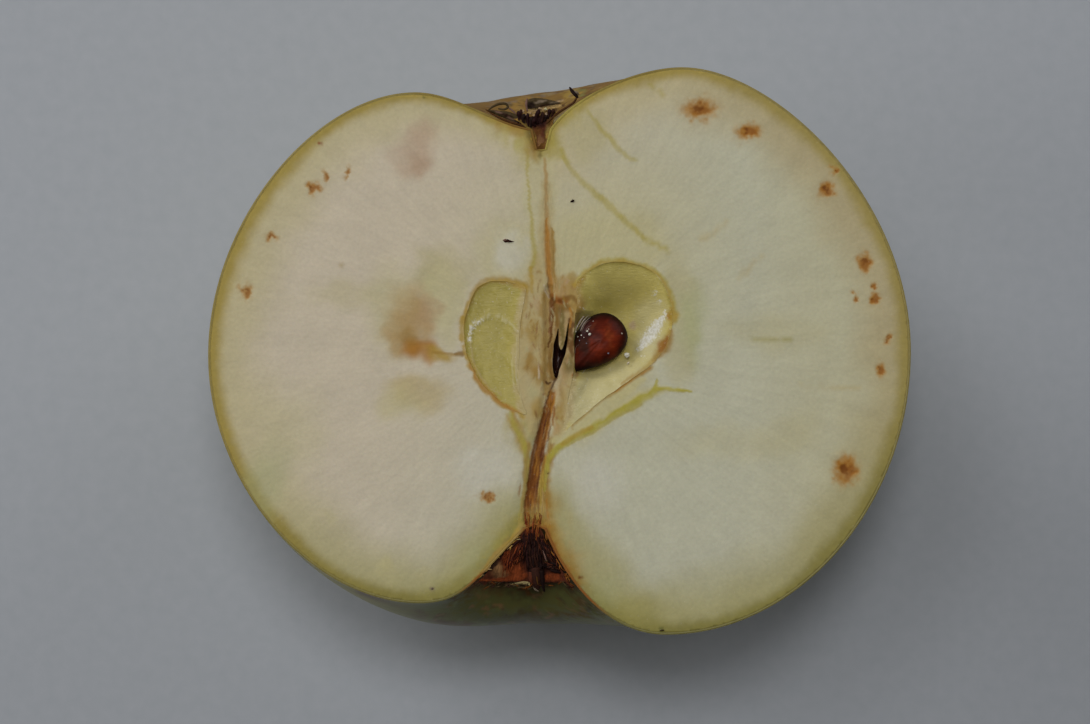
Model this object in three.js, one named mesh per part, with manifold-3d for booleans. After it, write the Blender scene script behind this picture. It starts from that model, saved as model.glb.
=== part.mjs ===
// Half of a green-yellow cooking apple, cut through the stalk and the calyx and lying on its back.
// Units are millimetres, +Z up. The cut face is level and on top. +Y points to the calyx end, -Y to the
// stalk end, +X to the larger cheek. The origin is the middle of the footprint, on the resting plane.
//
// Four separate pieces: the flesh in its skin, one pip, the woody foot of the stalk and the dried calyx.
import * as THREE from "three";
import { mergeVertices } from "three/addons/utils/BufferGeometryUtils.js";
import Module from "manifold-3d";

const wasm = await Module();
wasm.setup();

// ---------------------------------------------------------------- driving sizes
const CUT_Z = 34.6; // height of the cut face over the table
const GAP = 0.3; // air between two pieces that touch
const AXIS_X = -2.25; // where the core's axis crosses the middle of the cut face
const AXIS_LEAN = 0.016; // sideways drift of that axis per millimetre towards the calyx

// The fruit's five broad ribs, counted round its back from the right cheek of the cut (0 deg) to the left (180).
// cheek: widest radius and its height. calyx and stalk: radius and height of the crest of each shoulder.
// full: how far the outline stays round, as a share of each quarter. slope: steepness of both hollows.
const RIBS = [
  { at: 0, cheek: [38.25, -0.5], calyx: [14.4, 29.1], stalk: [13.6, -29.2], full: [0.4, 0.54, 0.56, 0.53], slope: [58, 67] },
  { at: 45, cheek: [36.8, -0.4], calyx: [14.3, 29.3], stalk: [13.2, -28.3], full: [0.44, 0.54, 0.55, 0.52], slope: [50, 64] },
  { at: 90, cheek: [35.1, -0.3], calyx: [13.8, 28.3], stalk: [12.8, -28.0], full: [0.46, 0.53, 0.54, 0.5], slope: [38, 57] },
  { at: 135, cheek: [34.5, -0.2], calyx: [13.2, 26.5], stalk: [12.8, -28.2], full: [0.47, 0.53, 0.53, 0.5], slope: [22, 50] },
  { at: 180, cheek: [33.75, -0.1], calyx: [13.0, 26.5], stalk: [11.6, -26.0], full: [0.48, 0.52, 0.53, 0.49], slope: [8, 45] },
];
const RIB_RELIEF = 0.35; // height of the faint ribs between those

const CALYX_HOLLOW = { tubeEnd: 20.6, tubeRadius: 0.4, mouth: [0.9, 22.7], entry: 4.0, crest: 0.32 };
const STALK_HOLLOW = { floor: -18.0, lip: [1.0, -18.5], entry: 6.6, crest: 0.41 };

// Seed chambers: outline of each on the cut face, the centre that it narrows to, and its depth. The full
// chamber ends towards the stalk in a shallow tail: between two heights its depth falls to a share of itself.
const FULL_CHAMBER = {
  outline: [
    [1.8, 7.0], [4.6, 8.75], [7.8, 8.7], [10.4, 7.0], [11.6, 2.8], [10.6, -0.2],
    [5.8, -4.2], [0.4, -8.4], [1.05, -2.7], [1.0, 1.2], [1.6, 4.3],
  ],
  centre: [5.6, 2.2],
  depth: 3.7,
  tail: { from: 0.5, to: -5.8, share: 0.15 },
};
const EMPTY_CHAMBER = {
  outline: [[-8.3, 6.4], [-5.8, 7.0], [-3.5, 6.3], [-4.1, 1.5], [-4.2, -2.0], [-3.4, -6.6], [-7.0, -4.6], [-9.5, -0.7], [-9.8, 2.8]],
  centre: [-6.4, 1.0],
  depth: 1.1,
};
const CORE_SLIT = {
  outline: [[0.9, 2.5], [0.6, 0.0], [0.0, -2.0], [-0.5, -3.0], [-0.7, -1.8], [-0.5, 0.6], [-0.1, 2.1], [0.2, 0.0]],
  centre: [-0.1, -0.8],
  depth: 3.0,
};
const BOWL_ROUND = 2.6; // how flat a chamber's floor is: 2 is an ellipse, more is flatter

// The pip: it leaves its point along the line to `shoulder`, is widest at `widest` and ends round.
const PIP = {
  tip: [1.55, -1.95], angle: 48, length: 6.9, width: 4.9, thickness: 2.7, depth: 1.35, tilt: 7,
  shoulder: [1.3, 1.25], widest: 4.2, roundness: 0.62,
};
const FOOT = { depth: 0.5, from: -18.9, to: -24.0, ridges: 7, ridgeDepth: 0.4, furrow: 0.35 };
const STUB = { radius: 1.15, to: -25.2 };
const STAMENS = { count: 9, length: 1.6, radius: 0.17, ring: 1.5, foot: 23.5, fan: 150 };
const SEPALS = [
  { at: 162, reach: 4.6, width: 2.6, lift: 0.3 },
  { at: 98, reach: 3.4, width: 2.9, lift: 1.3 },
  { at: 34, reach: 3.3, width: 2.2, lift: 1.1 },
];
const SEPAL_THICK = 0.45;

// ---------------------------------------------------------------- helpers
const rad = THREE.MathUtils.degToRad;

/** A closed manifold solid from a geometry whose faces point out. */
function solid(geometry) {
  const bare = new THREE.BufferGeometry().setAttribute("position", geometry.getAttribute("position"));
  if (geometry.index) bare.setIndex(geometry.index);
  const merged = mergeVertices(bare, 1e-4);
  const made = new wasm.Manifold(
    new wasm.Mesh({
      numProp: 3,
      vertProperties: new Float32Array(merged.attributes.position.array),
      triVerts: new Uint32Array(merged.index.array),
    }),
  );
  if (made.volume() <= 0) throw new Error("a solid is inside out");
  return made;
}

/** The three.js geometry of a manifold solid. */
function geometryOf(made) {
  const { numProp, numVert, vertProperties, triVerts } = made.getMesh();
  const points = new Float32Array(numVert * 3);
  for (let i = 0; i < numVert; i++) points.set(vertProperties.subarray(i * numProp, i * numProp + 3), i * 3);
  const geometry = new THREE.BufferGeometry().setAttribute("position", new THREE.BufferAttribute(points, 3));
  geometry.setIndex(new THREE.BufferAttribute(new Uint32Array(triVerts), 1));
  geometry.computeVertexNormals();
  return geometry;
}

const middleOf = (ring) => ring.reduce((sum, p) => sum.add(p), new THREE.Vector3()).divideScalar(ring.length);

/** A closed solid over rings of equal length, with a point to close each end, whichever way the rings turn. */
function loft(rings, first = middleOf(rings[0]), last = middleOf(rings.at(-1))) {
  const n = rings[0].length;
  const points = [first, ...rings.flat(), last];
  const at = (ring, i) => 1 + ring * n + (i % n);
  const faces = [];
  for (let i = 0; i < n; i++) {
    faces.push([0, at(0, i + 1), at(0, i)], [points.length - 1, at(rings.length - 1, i), at(rings.length - 1, i + 1)]);
    for (let j = 0; j + 1 < rings.length; j++) {
      faces.push([at(j, i), at(j, i + 1), at(j + 1, i + 1)], [at(j, i), at(j + 1, i + 1), at(j + 1, i)]);
    }
  }
  const volume = faces.reduce((sum, [a, b, c]) => {
    return sum + points[a].dot(new THREE.Vector3().crossVectors(points[b], points[c]));
  }, 0);
  if (volume < 0) faces.forEach((face) => face.reverse());
  return solid(new THREE.BufferGeometry().setFromPoints(points).setIndex(faces.flat()));
}

/** A value of the ribs' table at an angle in degrees, along a smooth curve through the five ribs. */
function ribValue(angle, read) {
  const last = RIBS.length - 1;
  const step = RIBS[1].at;
  const i = THREE.MathUtils.clamp(Math.floor(angle / step), 0, last - 1);
  const t = angle / step - i;
  const v = (k) => read(RIBS[THREE.MathUtils.clamp(k, 0, last)]);
  const slopeHere = (v(i + 1) - v(i - 1)) / 2;
  const slopeNext = (v(i + 2) - v(i)) / 2;
  return (
    (2 * t ** 3 - 3 * t ** 2 + 1) * v(i) +
    (t ** 3 - 2 * t ** 2 + t) * slopeHere +
    (3 * t ** 2 - 2 * t ** 3) * v(i + 1) +
    (t ** 3 - t ** 2) * slopeNext
  );
}

/** The fruit's outline at an angle round its axis: four curves from the calyx tube to the stalk's pit. */
function outlineCurves(angle) {
  const pick = (key, k) => ribValue(angle, (rib) => rib[key][k]);
  const cheek = new THREE.Vector2(pick("cheek", 0), pick("cheek", 1));
  const calyx = new THREE.Vector2(pick("calyx", 0), pick("calyx", 1));
  const stalk = new THREE.Vector2(pick("stalk", 0), pick("stalk", 1));
  const full = [0, 1, 2, 3].map((k) => pick("full", k));
  const mouth = new THREE.Vector2(...CALYX_HOLLOW.mouth);
  const lip = new THREE.Vector2(...STALK_HOLLOW.lip);
  const up = rad(pick("slope", 0));
  const down = rad(pick("slope", 1));
  const off = (base, x, y) => new THREE.Vector2(base.x + x, base.y + y);
  const curve = (a, b, c, d) => new THREE.CubicBezierCurve(a, b, c, d);
  return [
    curve(
      mouth,
      off(mouth, CALYX_HOLLOW.entry * Math.cos(up), CALYX_HOLLOW.entry * Math.sin(up)),
      off(calyx, -CALYX_HOLLOW.crest * calyx.x, 0),
      calyx,
    ),
    curve(calyx, off(calyx, full[0] * (cheek.x - calyx.x), 0), off(cheek, 0, full[1] * (calyx.y - cheek.y)), cheek),
    curve(cheek, off(cheek, 0, full[2] * (stalk.y - cheek.y)), off(stalk, full[3] * (cheek.x - stalk.x), 0), stalk),
    curve(
      stalk,
      off(stalk, -STALK_HOLLOW.crest * stalk.x, 0),
      off(lip, STALK_HOLLOW.entry * Math.cos(down), -STALK_HOLLOW.entry * Math.sin(down)),
      lip,
    ),
  ];
}

/** A point of the fruit, from its radius, height and angle round the axis. */
function onFruit(radius, height, angle) {
  const x = AXIS_X + AXIS_LEAN * height + radius * Math.cos(rad(angle));
  return new THREE.Vector3(x, height, CUT_Z - radius * Math.sin(rad(angle)));
}

/** Where a curve reaches a value of one of its coordinates, which runs one way along it. */
function reach(curve, axis, value) {
  const rising = curve.getPoint(1)[axis] > curve.getPoint(0)[axis];
  let low = 0;
  let high = 1;
  for (let k = 0; k < 24; k++) {
    const t = (low + high) / 2;
    if (curve.getPoint(t)[axis] < value === rising) low = t;
    else high = t;
  }
  return curve.getPoint(low);
}
const basinHeight = (radius, angle) => reach(outlineCurves(angle)[0], "x", radius).y;
const pitRadius = (height, angle) => reach(outlineCurves(angle)[3], "y", height).x;

/** The solid that hollows a chamber: its outline narrows to its centre as it goes down. */
function bowl({ outline, centre, depth, tail }, sides = 44, levels = 9) {
  const rim = outline.map(([x, y]) => new THREE.Vector3(x, y, 0));
  const loop = new THREE.CatmullRomCurve3(rim, true, "centripetal").getPoints(sides).slice(0, sides);
  const middle = (z) => new THREE.Vector3(centre[0], centre[1], z);
  const fullness = (y) => (tail ? THREE.MathUtils.lerp(tail.share, 1, THREE.MathUtils.smoothstep(y, tail.to, tail.from)) : 1);
  const ring = (share, drop) =>
    loop.map((p) => {
      const q = new THREE.Vector3(p.x, p.y, 0).lerp(middle(0), 1 - share);
      return q.setZ(CUT_Z - drop * (drop > 0 ? fullness(q.y) : 1));
    });
  const rings = [ring(1, -1)];
  for (let j = 0; j < levels; j++) {
    const share = Math.cos(((j / levels) * Math.PI) / 2) ** 0.8;
    rings.push(ring(share, depth * Math.sqrt(1 - share ** BOWL_ROUND)));
  }
  return loft(rings, middle(CUT_Z + 1), middle(CUT_Z - depth));
}

// ---------------------------------------------------------------- the apple half
const BACK_COLUMNS = 60;
const CURVE_STEPS = [8, 10, 11, 8];

function fleshAndSkin() {
  const columns = [];
  for (let i = 0; i <= BACK_COLUMNS; i++) {
    const angle = (180 * i) / BACK_COLUMNS;
    const column = [onFruit(CALYX_HOLLOW.tubeRadius, CALYX_HOLLOW.tubeEnd, angle)];
    outlineCurves(angle).forEach((curve, k) => {
      for (let s = k === 0 ? 0 : 1; s <= CURVE_STEPS[k]; s++) {
        const p = curve.getPoint(s / CURVE_STEPS[k]);
        const rib = RIB_RELIEF * Math.sin(5 * rad(angle)) * THREE.MathUtils.smoothstep(p.x, 4, 16);
        column.push(onFruit(p.x + rib, p.y, angle));
      }
    });
    columns.push(column);
  }
  const rows = columns[0].length;
  const points = [...columns.flat(), onFruit(0, CALYX_HOLLOW.tubeEnd, 0), onFruit(0, STALK_HOLLOW.floor, 0)];
  const [calyxPole, stalkPole] = [points.length - 2, points.length - 1];
  const at = (i, j) => i * rows + j;
  const faces = [];
  for (let i = 0; i < BACK_COLUMNS; i++) {
    faces.push([calyxPole, at(i, 0), at(i + 1, 0)], [stalkPole, at(i + 1, rows - 1), at(i, rows - 1)]);
    for (let j = 0; j + 1 < rows; j++) {
      faces.push([at(i, j), at(i + 1, j + 1), at(i + 1, j)], [at(i, j), at(i, j + 1), at(i + 1, j + 1)]);
    }
  }
  // The cut face, inside the right outline from calyx to stalk and the left one back.
  const rowNumbers = [...Array(rows).keys()];
  const right = rowNumbers.map((j) => at(0, j));
  const left = rowNumbers.map((j) => at(BACK_COLUMNS, j)).reverse();
  const edge = [calyxPole, ...right, stalkPole, ...left].reverse();
  const flat = edge.map((k) => new THREE.Vector2(points[k].x, points[k].y));
  for (const face of THREE.ShapeUtils.triangulateShape(flat, [])) faces.push(face.map((k) => edge[k]));
  const whole = solid(new THREE.BufferGeometry().setFromPoints(points).setIndex(faces.flat()));
  // The flat spot that it rests on, and the hollows of the core.
  const table = new THREE.BoxGeometry(80, 80, 20).translate(0, 0, -10);
  const rested = whole.subtract(solid(table));
  return [FULL_CHAMBER, EMPTY_CHAMBER, CORE_SLIT].reduce((body, hollow) => body.subtract(bowl(hollow)), rested);
}

// ---------------------------------------------------------------- the pip
/** The pip's half-outline: one curve from its point to its widest place, one from there to its round end. */
function pipOutline() {
  const half = PIP.width / 2;
  const back = PIP.length - PIP.widest;
  const curve = (...points) => new THREE.CubicBezierCurve(...points.map(([x, y]) => new THREE.Vector2(x, y)));
  return [
    curve([0, 0], PIP.shoulder, [PIP.roundness * PIP.widest, half], [PIP.widest, half]),
    curve([PIP.widest, half], [PIP.widest + PIP.roundness * back, half], [PIP.length, PIP.roundness * half], [PIP.length, 0]),
  ];
}

function pip(steps = 7, sides = 20) {
  const [front, back] = pipOutline();
  const stations = [];
  for (let j = 1; j <= steps; j++) stations.push(front.getPoint(j / steps));
  for (let j = 1; j < steps; j++) stations.push(back.getPoint(j / steps));
  const flatness = PIP.thickness / PIP.width;
  const rings = stations.map((p) =>
    Array.from({ length: sides }, (_, i) => {
      const turn = (2 * Math.PI * i) / sides;
      return new THREE.Vector3(p.x, p.y * Math.cos(turn), flatness * p.y * Math.sin(turn));
    }),
  );
  return geometryOf(loft(rings, new THREE.Vector3(0, 0, 0), new THREE.Vector3(PIP.length, 0, 0)));
}

// ---------------------------------------------------------------- the stalk's foot
/** Half of a corky, ridged cone that fills the stalk's pit, with the broken stub standing out of its end. */
function stalkFoot(levels = 8, round = 28, across = 9) {
  const rings = [];
  for (let j = 0; j <= levels; j++) {
    const t = j / levels;
    const y = THREE.MathUtils.lerp(FOOT.from, FOOT.to, t);
    const radiusAt = (angle) => {
      const ridge = FOOT.ridgeDepth * t * (0.5 + 0.5 * Math.cos(2 * FOOT.ridges * rad(angle)));
      return pitRadius(y, angle) - GAP * 1.2 - ridge;
    };
    // The torn upper side lies a little under the cut face, so each ring starts and ends below level.
    const below = FOOT.depth + 0.2 * Math.sin(7 * t);
    const dip = (angle) => THREE.MathUtils.radToDeg(Math.asin(below / radiusAt(angle)));
    const first = dip(0);
    const last = 180 - dip(180);
    const ring = [];
    for (let i = 0; i <= round; i++) {
      const angle = THREE.MathUtils.lerp(first, last, i / round);
      ring.push(onFruit(radiusAt(angle), y, angle));
    }
    for (let i = 1; i < across; i++) {
      const p = ring[round].clone().lerp(ring[0], i / across);
      p.z -= FOOT.furrow * t * (i % 2);
      ring.push(p);
    }
    rings.push(ring);
  }
  const from = FOOT.to + 2.5;
  const middle = onFruit(0, (from + STUB.to) / 2, 0);
  const stub = new THREE.CylinderGeometry(STUB.radius * 0.85, STUB.radius, from - STUB.to, 10);
  stub.translate(middle.x, middle.y, middle.z - FOOT.depth - STUB.radius - 0.1);
  return loft(rings).add(solid(stub));
}

// ---------------------------------------------------------------- the dried calyx
/** A thin leaf that lies along the hollow's wall and lifts off it towards its tip. */
function sepal({ at, reach: length, width, lift }, steps = 6, sides = 6) {
  const rings = [];
  for (let j = 0; j <= steps; j++) {
    const t = j / steps;
    const radius = 1.3 + length * t;
    const half = (width / 2) * (1 - t) ** 0.75 * (0.8 + 0.7 * t) + 0.25;
    const row = (side) =>
      Array.from({ length: sides }, (_, i) => {
        const u = (2 * i) / (sides - 1) - 1;
        const angle = at + THREE.MathUtils.radToDeg((u * half) / radius);
        const height = basinHeight(radius, angle) + 0.75 + lift * t ** 2 + 0.1 * Math.sin(9 * t + 2 * u);
        return onFruit(radius, height + (side * SEPAL_THICK) / 2, angle);
      });
    rings.push([...row(-1), ...row(1).reverse()]);
  }
  return loft(rings);
}

/** The withered flower: a collar round the tube's mouth, with stamens on it and sepals round it. */
function driedCalyx() {
  const centre = onFruit(0, STAMENS.foot, 90);
  const collar = new THREE.SphereGeometry(STAMENS.ring + 0.5, 18, 10).scale(1, 0.4, 1);
  collar.translate(centre.x, centre.y, centre.z);
  let body = SEPALS.reduce((sum, leaf) => sum.add(sepal(leaf)), solid(collar));
  for (let i = 0; i < STAMENS.count; i++) {
    const angle = 90 + STAMENS.fan * (0.5 - i / (STAMENS.count - 1));
    const foot = onFruit(STAMENS.ring, STAMENS.foot, angle);
    const rod = new THREE.CylinderGeometry(STAMENS.radius * 1.35, STAMENS.radius, STAMENS.length, 6);
    rod.translate(0, STAMENS.length / 2, 0);
    rod.rotateZ(rad(-16 * Math.cos(rad(angle)) + 6 * Math.sin(7 * i)));
    rod.translate(foot.x, foot.y, foot.z);
    body = body.add(solid(rod));
  }
  const above = new THREE.BoxGeometry(20, 20, 10).translate(centre.x, centre.y, CUT_Z + 5 - GAP);
  return body.subtract(solid(above));
}

// ---------------------------------------------------------------- the group
const paint = (name, color, roughness) => new THREE.MeshStandardMaterial({ name, color, roughness, metalness: 0 });
const group = new THREE.Group();
function add(name, geometry, material) {
  const mesh = new THREE.Mesh(geometry, material);
  mesh.name = name;
  group.add(mesh);
  return mesh;
}

const half = fleshAndSkin();
const nearHalf = solid(geometryOf(half).translate(0, GAP * 1.3, 0)); // what lies in the calyx hollow stays off its wall
add("apple_half", geometryOf(half), paint("apple flesh", "#d9d3b4", 0.55));
add("pip", pip(), paint("pip", "#5a1d0b", 0.2));
add("stalk_foot", geometryOf(stalkFoot()), paint("stalk cork", "#3a2013", 0.85));
add("dried_calyx", geometryOf(driedCalyx().subtract(nearHalf)), paint("dried calyx", "#5b4426", 0.85));

const seed = group.getObjectByName("pip");
seed.rotation.set(0, rad(PIP.tilt), rad(PIP.angle), "ZYX");
seed.position.set(PIP.tip[0], PIP.tip[1], CUT_Z - PIP.depth);

export default group;
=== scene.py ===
# %% [markdown]
# # Half a cooking apple, cut from calyx to stalk
# A squat green-yellow apple lies on its round back with its cut face up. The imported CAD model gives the
# size and the place of four solids: the half, one pip, the woody foot of the stalk and the dried calyx.
# This script dresses them: it makes each piece again as a fine mesh from the same named sizes, then gives
# it a material.

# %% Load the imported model
import math
import bpy
import numpy as np
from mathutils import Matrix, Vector
from mathutils.geometry import delaunay_2d_cdt


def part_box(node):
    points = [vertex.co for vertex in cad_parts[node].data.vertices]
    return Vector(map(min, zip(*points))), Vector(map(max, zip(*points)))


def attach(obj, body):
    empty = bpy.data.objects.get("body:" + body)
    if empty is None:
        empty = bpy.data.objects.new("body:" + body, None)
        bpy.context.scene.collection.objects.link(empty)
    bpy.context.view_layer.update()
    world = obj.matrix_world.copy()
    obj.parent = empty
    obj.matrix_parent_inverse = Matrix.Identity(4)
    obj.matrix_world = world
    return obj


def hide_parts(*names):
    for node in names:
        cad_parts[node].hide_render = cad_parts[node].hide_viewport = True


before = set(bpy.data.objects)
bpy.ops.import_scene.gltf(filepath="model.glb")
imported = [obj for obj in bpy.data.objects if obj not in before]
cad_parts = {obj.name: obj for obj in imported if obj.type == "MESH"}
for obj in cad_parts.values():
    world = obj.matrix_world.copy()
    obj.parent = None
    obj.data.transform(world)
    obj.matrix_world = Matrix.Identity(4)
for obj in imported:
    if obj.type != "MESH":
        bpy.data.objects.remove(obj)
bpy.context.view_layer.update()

MM = 0.001
for node in ("apple_half", "pip", "stalk_foot", "dried_calyx"):
    low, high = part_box(node)
    print(node, "spans", [round((b - a) / MM, 1) for a, b in zip(low, high)], "mm")

# %% [markdown]
# ## Small tools
# Blender's shaders want linear colour, while people pick colours as sRGB hex, so one function turns them.
# Every mark on the fruit takes its colour from one small palette, named for the matter that has it; a few
# tints are painted light, and a comment marks each.
# One function adds any shader node with its settings and its links, and short ones make the nodes that
# are used most, which keeps each material readable.
# One function turns lists of points and faces into an object that rides with the model. Each piece keeps a
# colour for each vertex, named "tint", because growth marks are easier to place on a mesh than in a shader.


# %% Palette
PALETTE = {
    "warm cream": "#d9cbb0",
    "cool cream": "#cdcaae",
    "pale flesh": "#dcd8c6",
    "straw": "#cdc393",
    "dull straw": "#c1b684",
    "olive": "#a49a55",
    "sage": "#b7ba88",
    "leaf green": "#7f8646",
    "moss": "#6a6a34",
    "vessel green": "#b8ab45",
    "vessel gold": "#b8973e",
    "parchment": "#b7a752",
    # a lighter parchment, painted light for the deep right chamber
    "painted-light parchment": "#d4c36e",
    "pale parchment": "#cec28a",
    # a near-white gleam of juice, for painted highlights
    "wet gleam": "#e8e3cf",
    "bruise": "#c2a486",
    "tan": "#bb9a62",
    "light tissue": "#c4af78",
    "tissue": "#b39552",
    "ochre": "#a8823a",
    "amber": "#b57c2c",
    "rust": "#9a6026",
    "umber": "#8a662c",
    "bark": "#6b4519",
    "burnt": "#74400f",
    "dark bark": "#4f2f12",
    "pip red": "#7a2a12",
    "pip brown": "#521c10",
    "pip black": "#2a1110",
    "film": "#b5a494",
    "film shade": "#7e5f52",
    "red cork": "#8f4420",
    "dark cork": "#5d2e1b",
    "pale cork": "#9c7248",
    "soot": "#21110d",
    "cocoa": "#3a1f15",
    "grey sepal": "#85745f",
    "olive russet": "#7c6a34",
    "dusk": "#4c3d24",
    "pollen": "#c0a078",
    # a bluish grey for painted glints on the pip's beads
    "slate": "#8d93a2",
    "sunny band": "#b19b50",
    "sunny band, deeper": "#cfc298",
    "dull band": "#ad9a57",
    "dull band, deeper": "#c2b389",
    "shaded band": "#928949",
    "shaded band, deeper": "#b7af7c",
    "full": "#ffffff",
}
print(len(PALETTE), "named tints")


# %% Colour, node and mesh helpers
def linear(colour):
    """A palette name or an sRGB hex colour as the linear RGBA that a shader takes."""
    hex_colour = PALETTE.get(colour, colour)
    parts = [int(hex_colour[i:i + 2], 16) / 255 for i in (1, 3, 5)]
    return [c / 12.92 if c <= 0.04045 else ((c + 0.055) / 1.055) ** 2.4 for c in parts] + [1.0]


def rgb_of(colour):
    """A colour as three linear numbers."""
    return np.array(linear(colour)[:3])


def painted(tint, count):
    """Rows of one tint, one for each of `count` points."""
    return np.tile(rgb_of(tint), (count, 1))


def add(tree, kind, inputs=None, stops=None, **settings):
    """Add one node. `inputs` holds socket values or the sockets that feed them. `stops` fills a ramp."""
    node = tree.nodes.new("ShaderNode" + kind)
    for name, value in settings.items():
        setattr(node, name, value)
    for key, value in (inputs or {}).items():
        if isinstance(value, bpy.types.NodeSocket):
            tree.links.new(value, node.inputs[key])
        else:
            node.inputs[key].default_value = value
    for i, (place, colour) in enumerate(stops or []):
        ramp = node.color_ramp.elements
        stop = ramp[i] if i < 2 else ramp.new(place)
        stop.position = place
        stop.color = linear(colour)
    return node


def material(name):
    """A new material: its node tree, its shader, and the object's own coordinates in millimetres."""
    made = bpy.data.materials.new(name)
    made.use_nodes = True
    tree = made.node_tree
    shader = tree.nodes["Principled BSDF"]
    place = add(tree, "TexCoord")
    scaled = add(tree, "Mapping", {"Vector": place.outputs["Object"], "Scale": (1 / MM, 1 / MM, 1 / MM)})
    return made, tree, shader, scaled.outputs["Vector"]


def noise_of(tree, where, scale, detail, roughness):
    """The values of a noise with `scale` hills to a millimetre."""
    inputs = {"Vector": where, "Scale": scale, "Detail": detail, "Roughness": roughness}
    return add(tree, "TexNoise", inputs).outputs["Fac"]


def mapped(tree, value, start, end, low, high):
    """A value carried from the range `start` to `end` into the range `low` to `high`."""
    inputs = {"Value": value, "From Min": start, "From Max": end, "To Min": low, "To Max": high}
    return add(tree, "MapRange", inputs).outputs["Result"]


def mixed(tree, share, under, over):
    """One colour laid over another by a share."""
    return add(tree, "Mix", {0: share, 6: under, 7: over}, data_type="RGBA").outputs[2]


def dimmed(tree, colour, share):
    """A colour times a number."""
    return add(tree, "VectorMath", {0: colour, "Scale": share}, operation="SCALE").outputs["Vector"]


def grained(tree, shader, noise, low, high, strength, relief_mm):
    """Let one noise darken and lighten the vertex tints, from `low` to `high`, and raise the surface."""
    tinted = add(tree, "Attribute", attribute_name="tint").outputs["Color"]
    final = dimmed(tree, tinted, mapped(tree, noise, 0.3, 0.7, low, high))
    tree.links.new(final, shader.inputs["Base Color"])
    bump = add(tree, "Bump", {"Height": noise, "Strength": strength, "Distance": relief_mm * MM})
    tree.links.new(bump.outputs["Normal"], shader.inputs["Normal"])


def piece(name, points, faces, finishes, slot, stands_for=None, finish_of_face=None, tint=None, **layers):
    """A smooth object from points in millimetres, with its vertex colours, which rides with the model."""
    mesh = bpy.data.meshes.new(name)
    mesh.from_pydata((np.asarray(points) * MM).tolist(), [], [list(map(int, f)) for f in faces])
    mesh.polygons.foreach_set("use_smooth", [True] * len(mesh.polygons))
    for finish in finishes:
        mesh.materials.append(finish)
    if finish_of_face is not None:
        mesh.polygons.foreach_set("material_index", finish_of_face)
    if tint is not None:
        rgba = np.column_stack([tint, np.ones(len(tint))]) if tint.shape[1] == 3 else tint
        layer = mesh.attributes.new("tint", "FLOAT_COLOR", "POINT")
        layer.data.foreach_set("color", rgba.astype(np.float32).ravel())
    for key, values in layers.items():
        layer = mesh.attributes.new(key, "FLOAT", "POINT")
        layer.data.foreach_set("value", np.asarray(values, dtype=np.float32))
    mesh.update()
    obj = bpy.data.objects.new(name, mesh)
    bpy.context.scene.collection.objects.link(obj)
    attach(obj, "root")
    if stands_for:
        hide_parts(stands_for)
    print(name, "has", len(mesh.polygons), "faces")


# %% [markdown]
# ## The form of the fruit
# An apple is a body of revolution only at first sight: five broad ribs run round it, and here the right cheek
# is larger than the left. Each rib has a table row with its widest radius and the crests of both shoulders.
# Four Bezier curves join those, from the calyx tube over the cheek to the stalk's pit, and the rows blend
# smoothly round the back. The numbers are the CAD model's own, so the dressed fruit fits it exactly.

# %% Sizes of the fruit, in millimetres
CUT_Z = 34.6
AXIS_X, AXIS_LEAN = -2.25, 0.016
RIBS = [  # widest point, crest at the calyx, crest at the stalk, fullness of the curves, slope of the hollows
    {"cheek": (38.25, -0.5), "calyx": (14.4, 29.1), "stalk": (13.6, -29.2),
     "full": (0.4, 0.54, 0.56, 0.53), "slope": (58, 67)},
    {"cheek": (36.8, -0.4), "calyx": (14.3, 29.3), "stalk": (13.2, -28.3),
     "full": (0.44, 0.54, 0.55, 0.52), "slope": (50, 64)},
    {"cheek": (35.1, -0.3), "calyx": (13.8, 28.3), "stalk": (12.8, -28.0),
     "full": (0.46, 0.53, 0.54, 0.5), "slope": (38, 57)},
    {"cheek": (34.5, -0.2), "calyx": (13.2, 26.5), "stalk": (12.8, -28.2),
     "full": (0.47, 0.53, 0.53, 0.5), "slope": (22, 50)},
    {"cheek": (33.75, -0.1), "calyx": (13.0, 26.5), "stalk": (11.6, -26.0),
     "full": (0.48, 0.52, 0.53, 0.49), "slope": (8, 45)},
]
RIB_STEP = 45
RIB_RELIEF = 0.35
TUBE_END, TUBE_RADIUS, MOUTH, CALYX_ENTRY, CALYX_CREST = 20.6, 0.4, (0.9, 22.7), 4.0, 0.32
PIT_FLOOR, PIT_LIP, PIT_ENTRY, PIT_CREST = -18.0, (1.0, -18.5), 6.6, 0.41


def rib_value(angles, key, which):
    """One column of the table at each angle, along a smooth curve through the five ribs."""
    values = np.array([rib[key][which] for rib in RIBS], dtype=float)
    i = np.clip((angles / RIB_STEP).astype(int), 0, len(values) - 2)
    t = angles / RIB_STEP - i
    before, start, end, after = (values[np.clip(i + k, 0, len(values) - 1)] for k in (-1, 0, 1, 2))
    blend = (2 * t**3 - 3 * t**2 + 1) * start + (3 * t**2 - 2 * t**3) * end
    return blend + (t**3 - 2 * t**2 + t) * (end - before) / 2 + (t**3 - t**2) * (after - start) / 2


def smoothstep(value, low, high):
    t = np.clip((value - low) / (high - low), 0, 1)
    return t * t * (3 - 2 * t)


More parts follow.
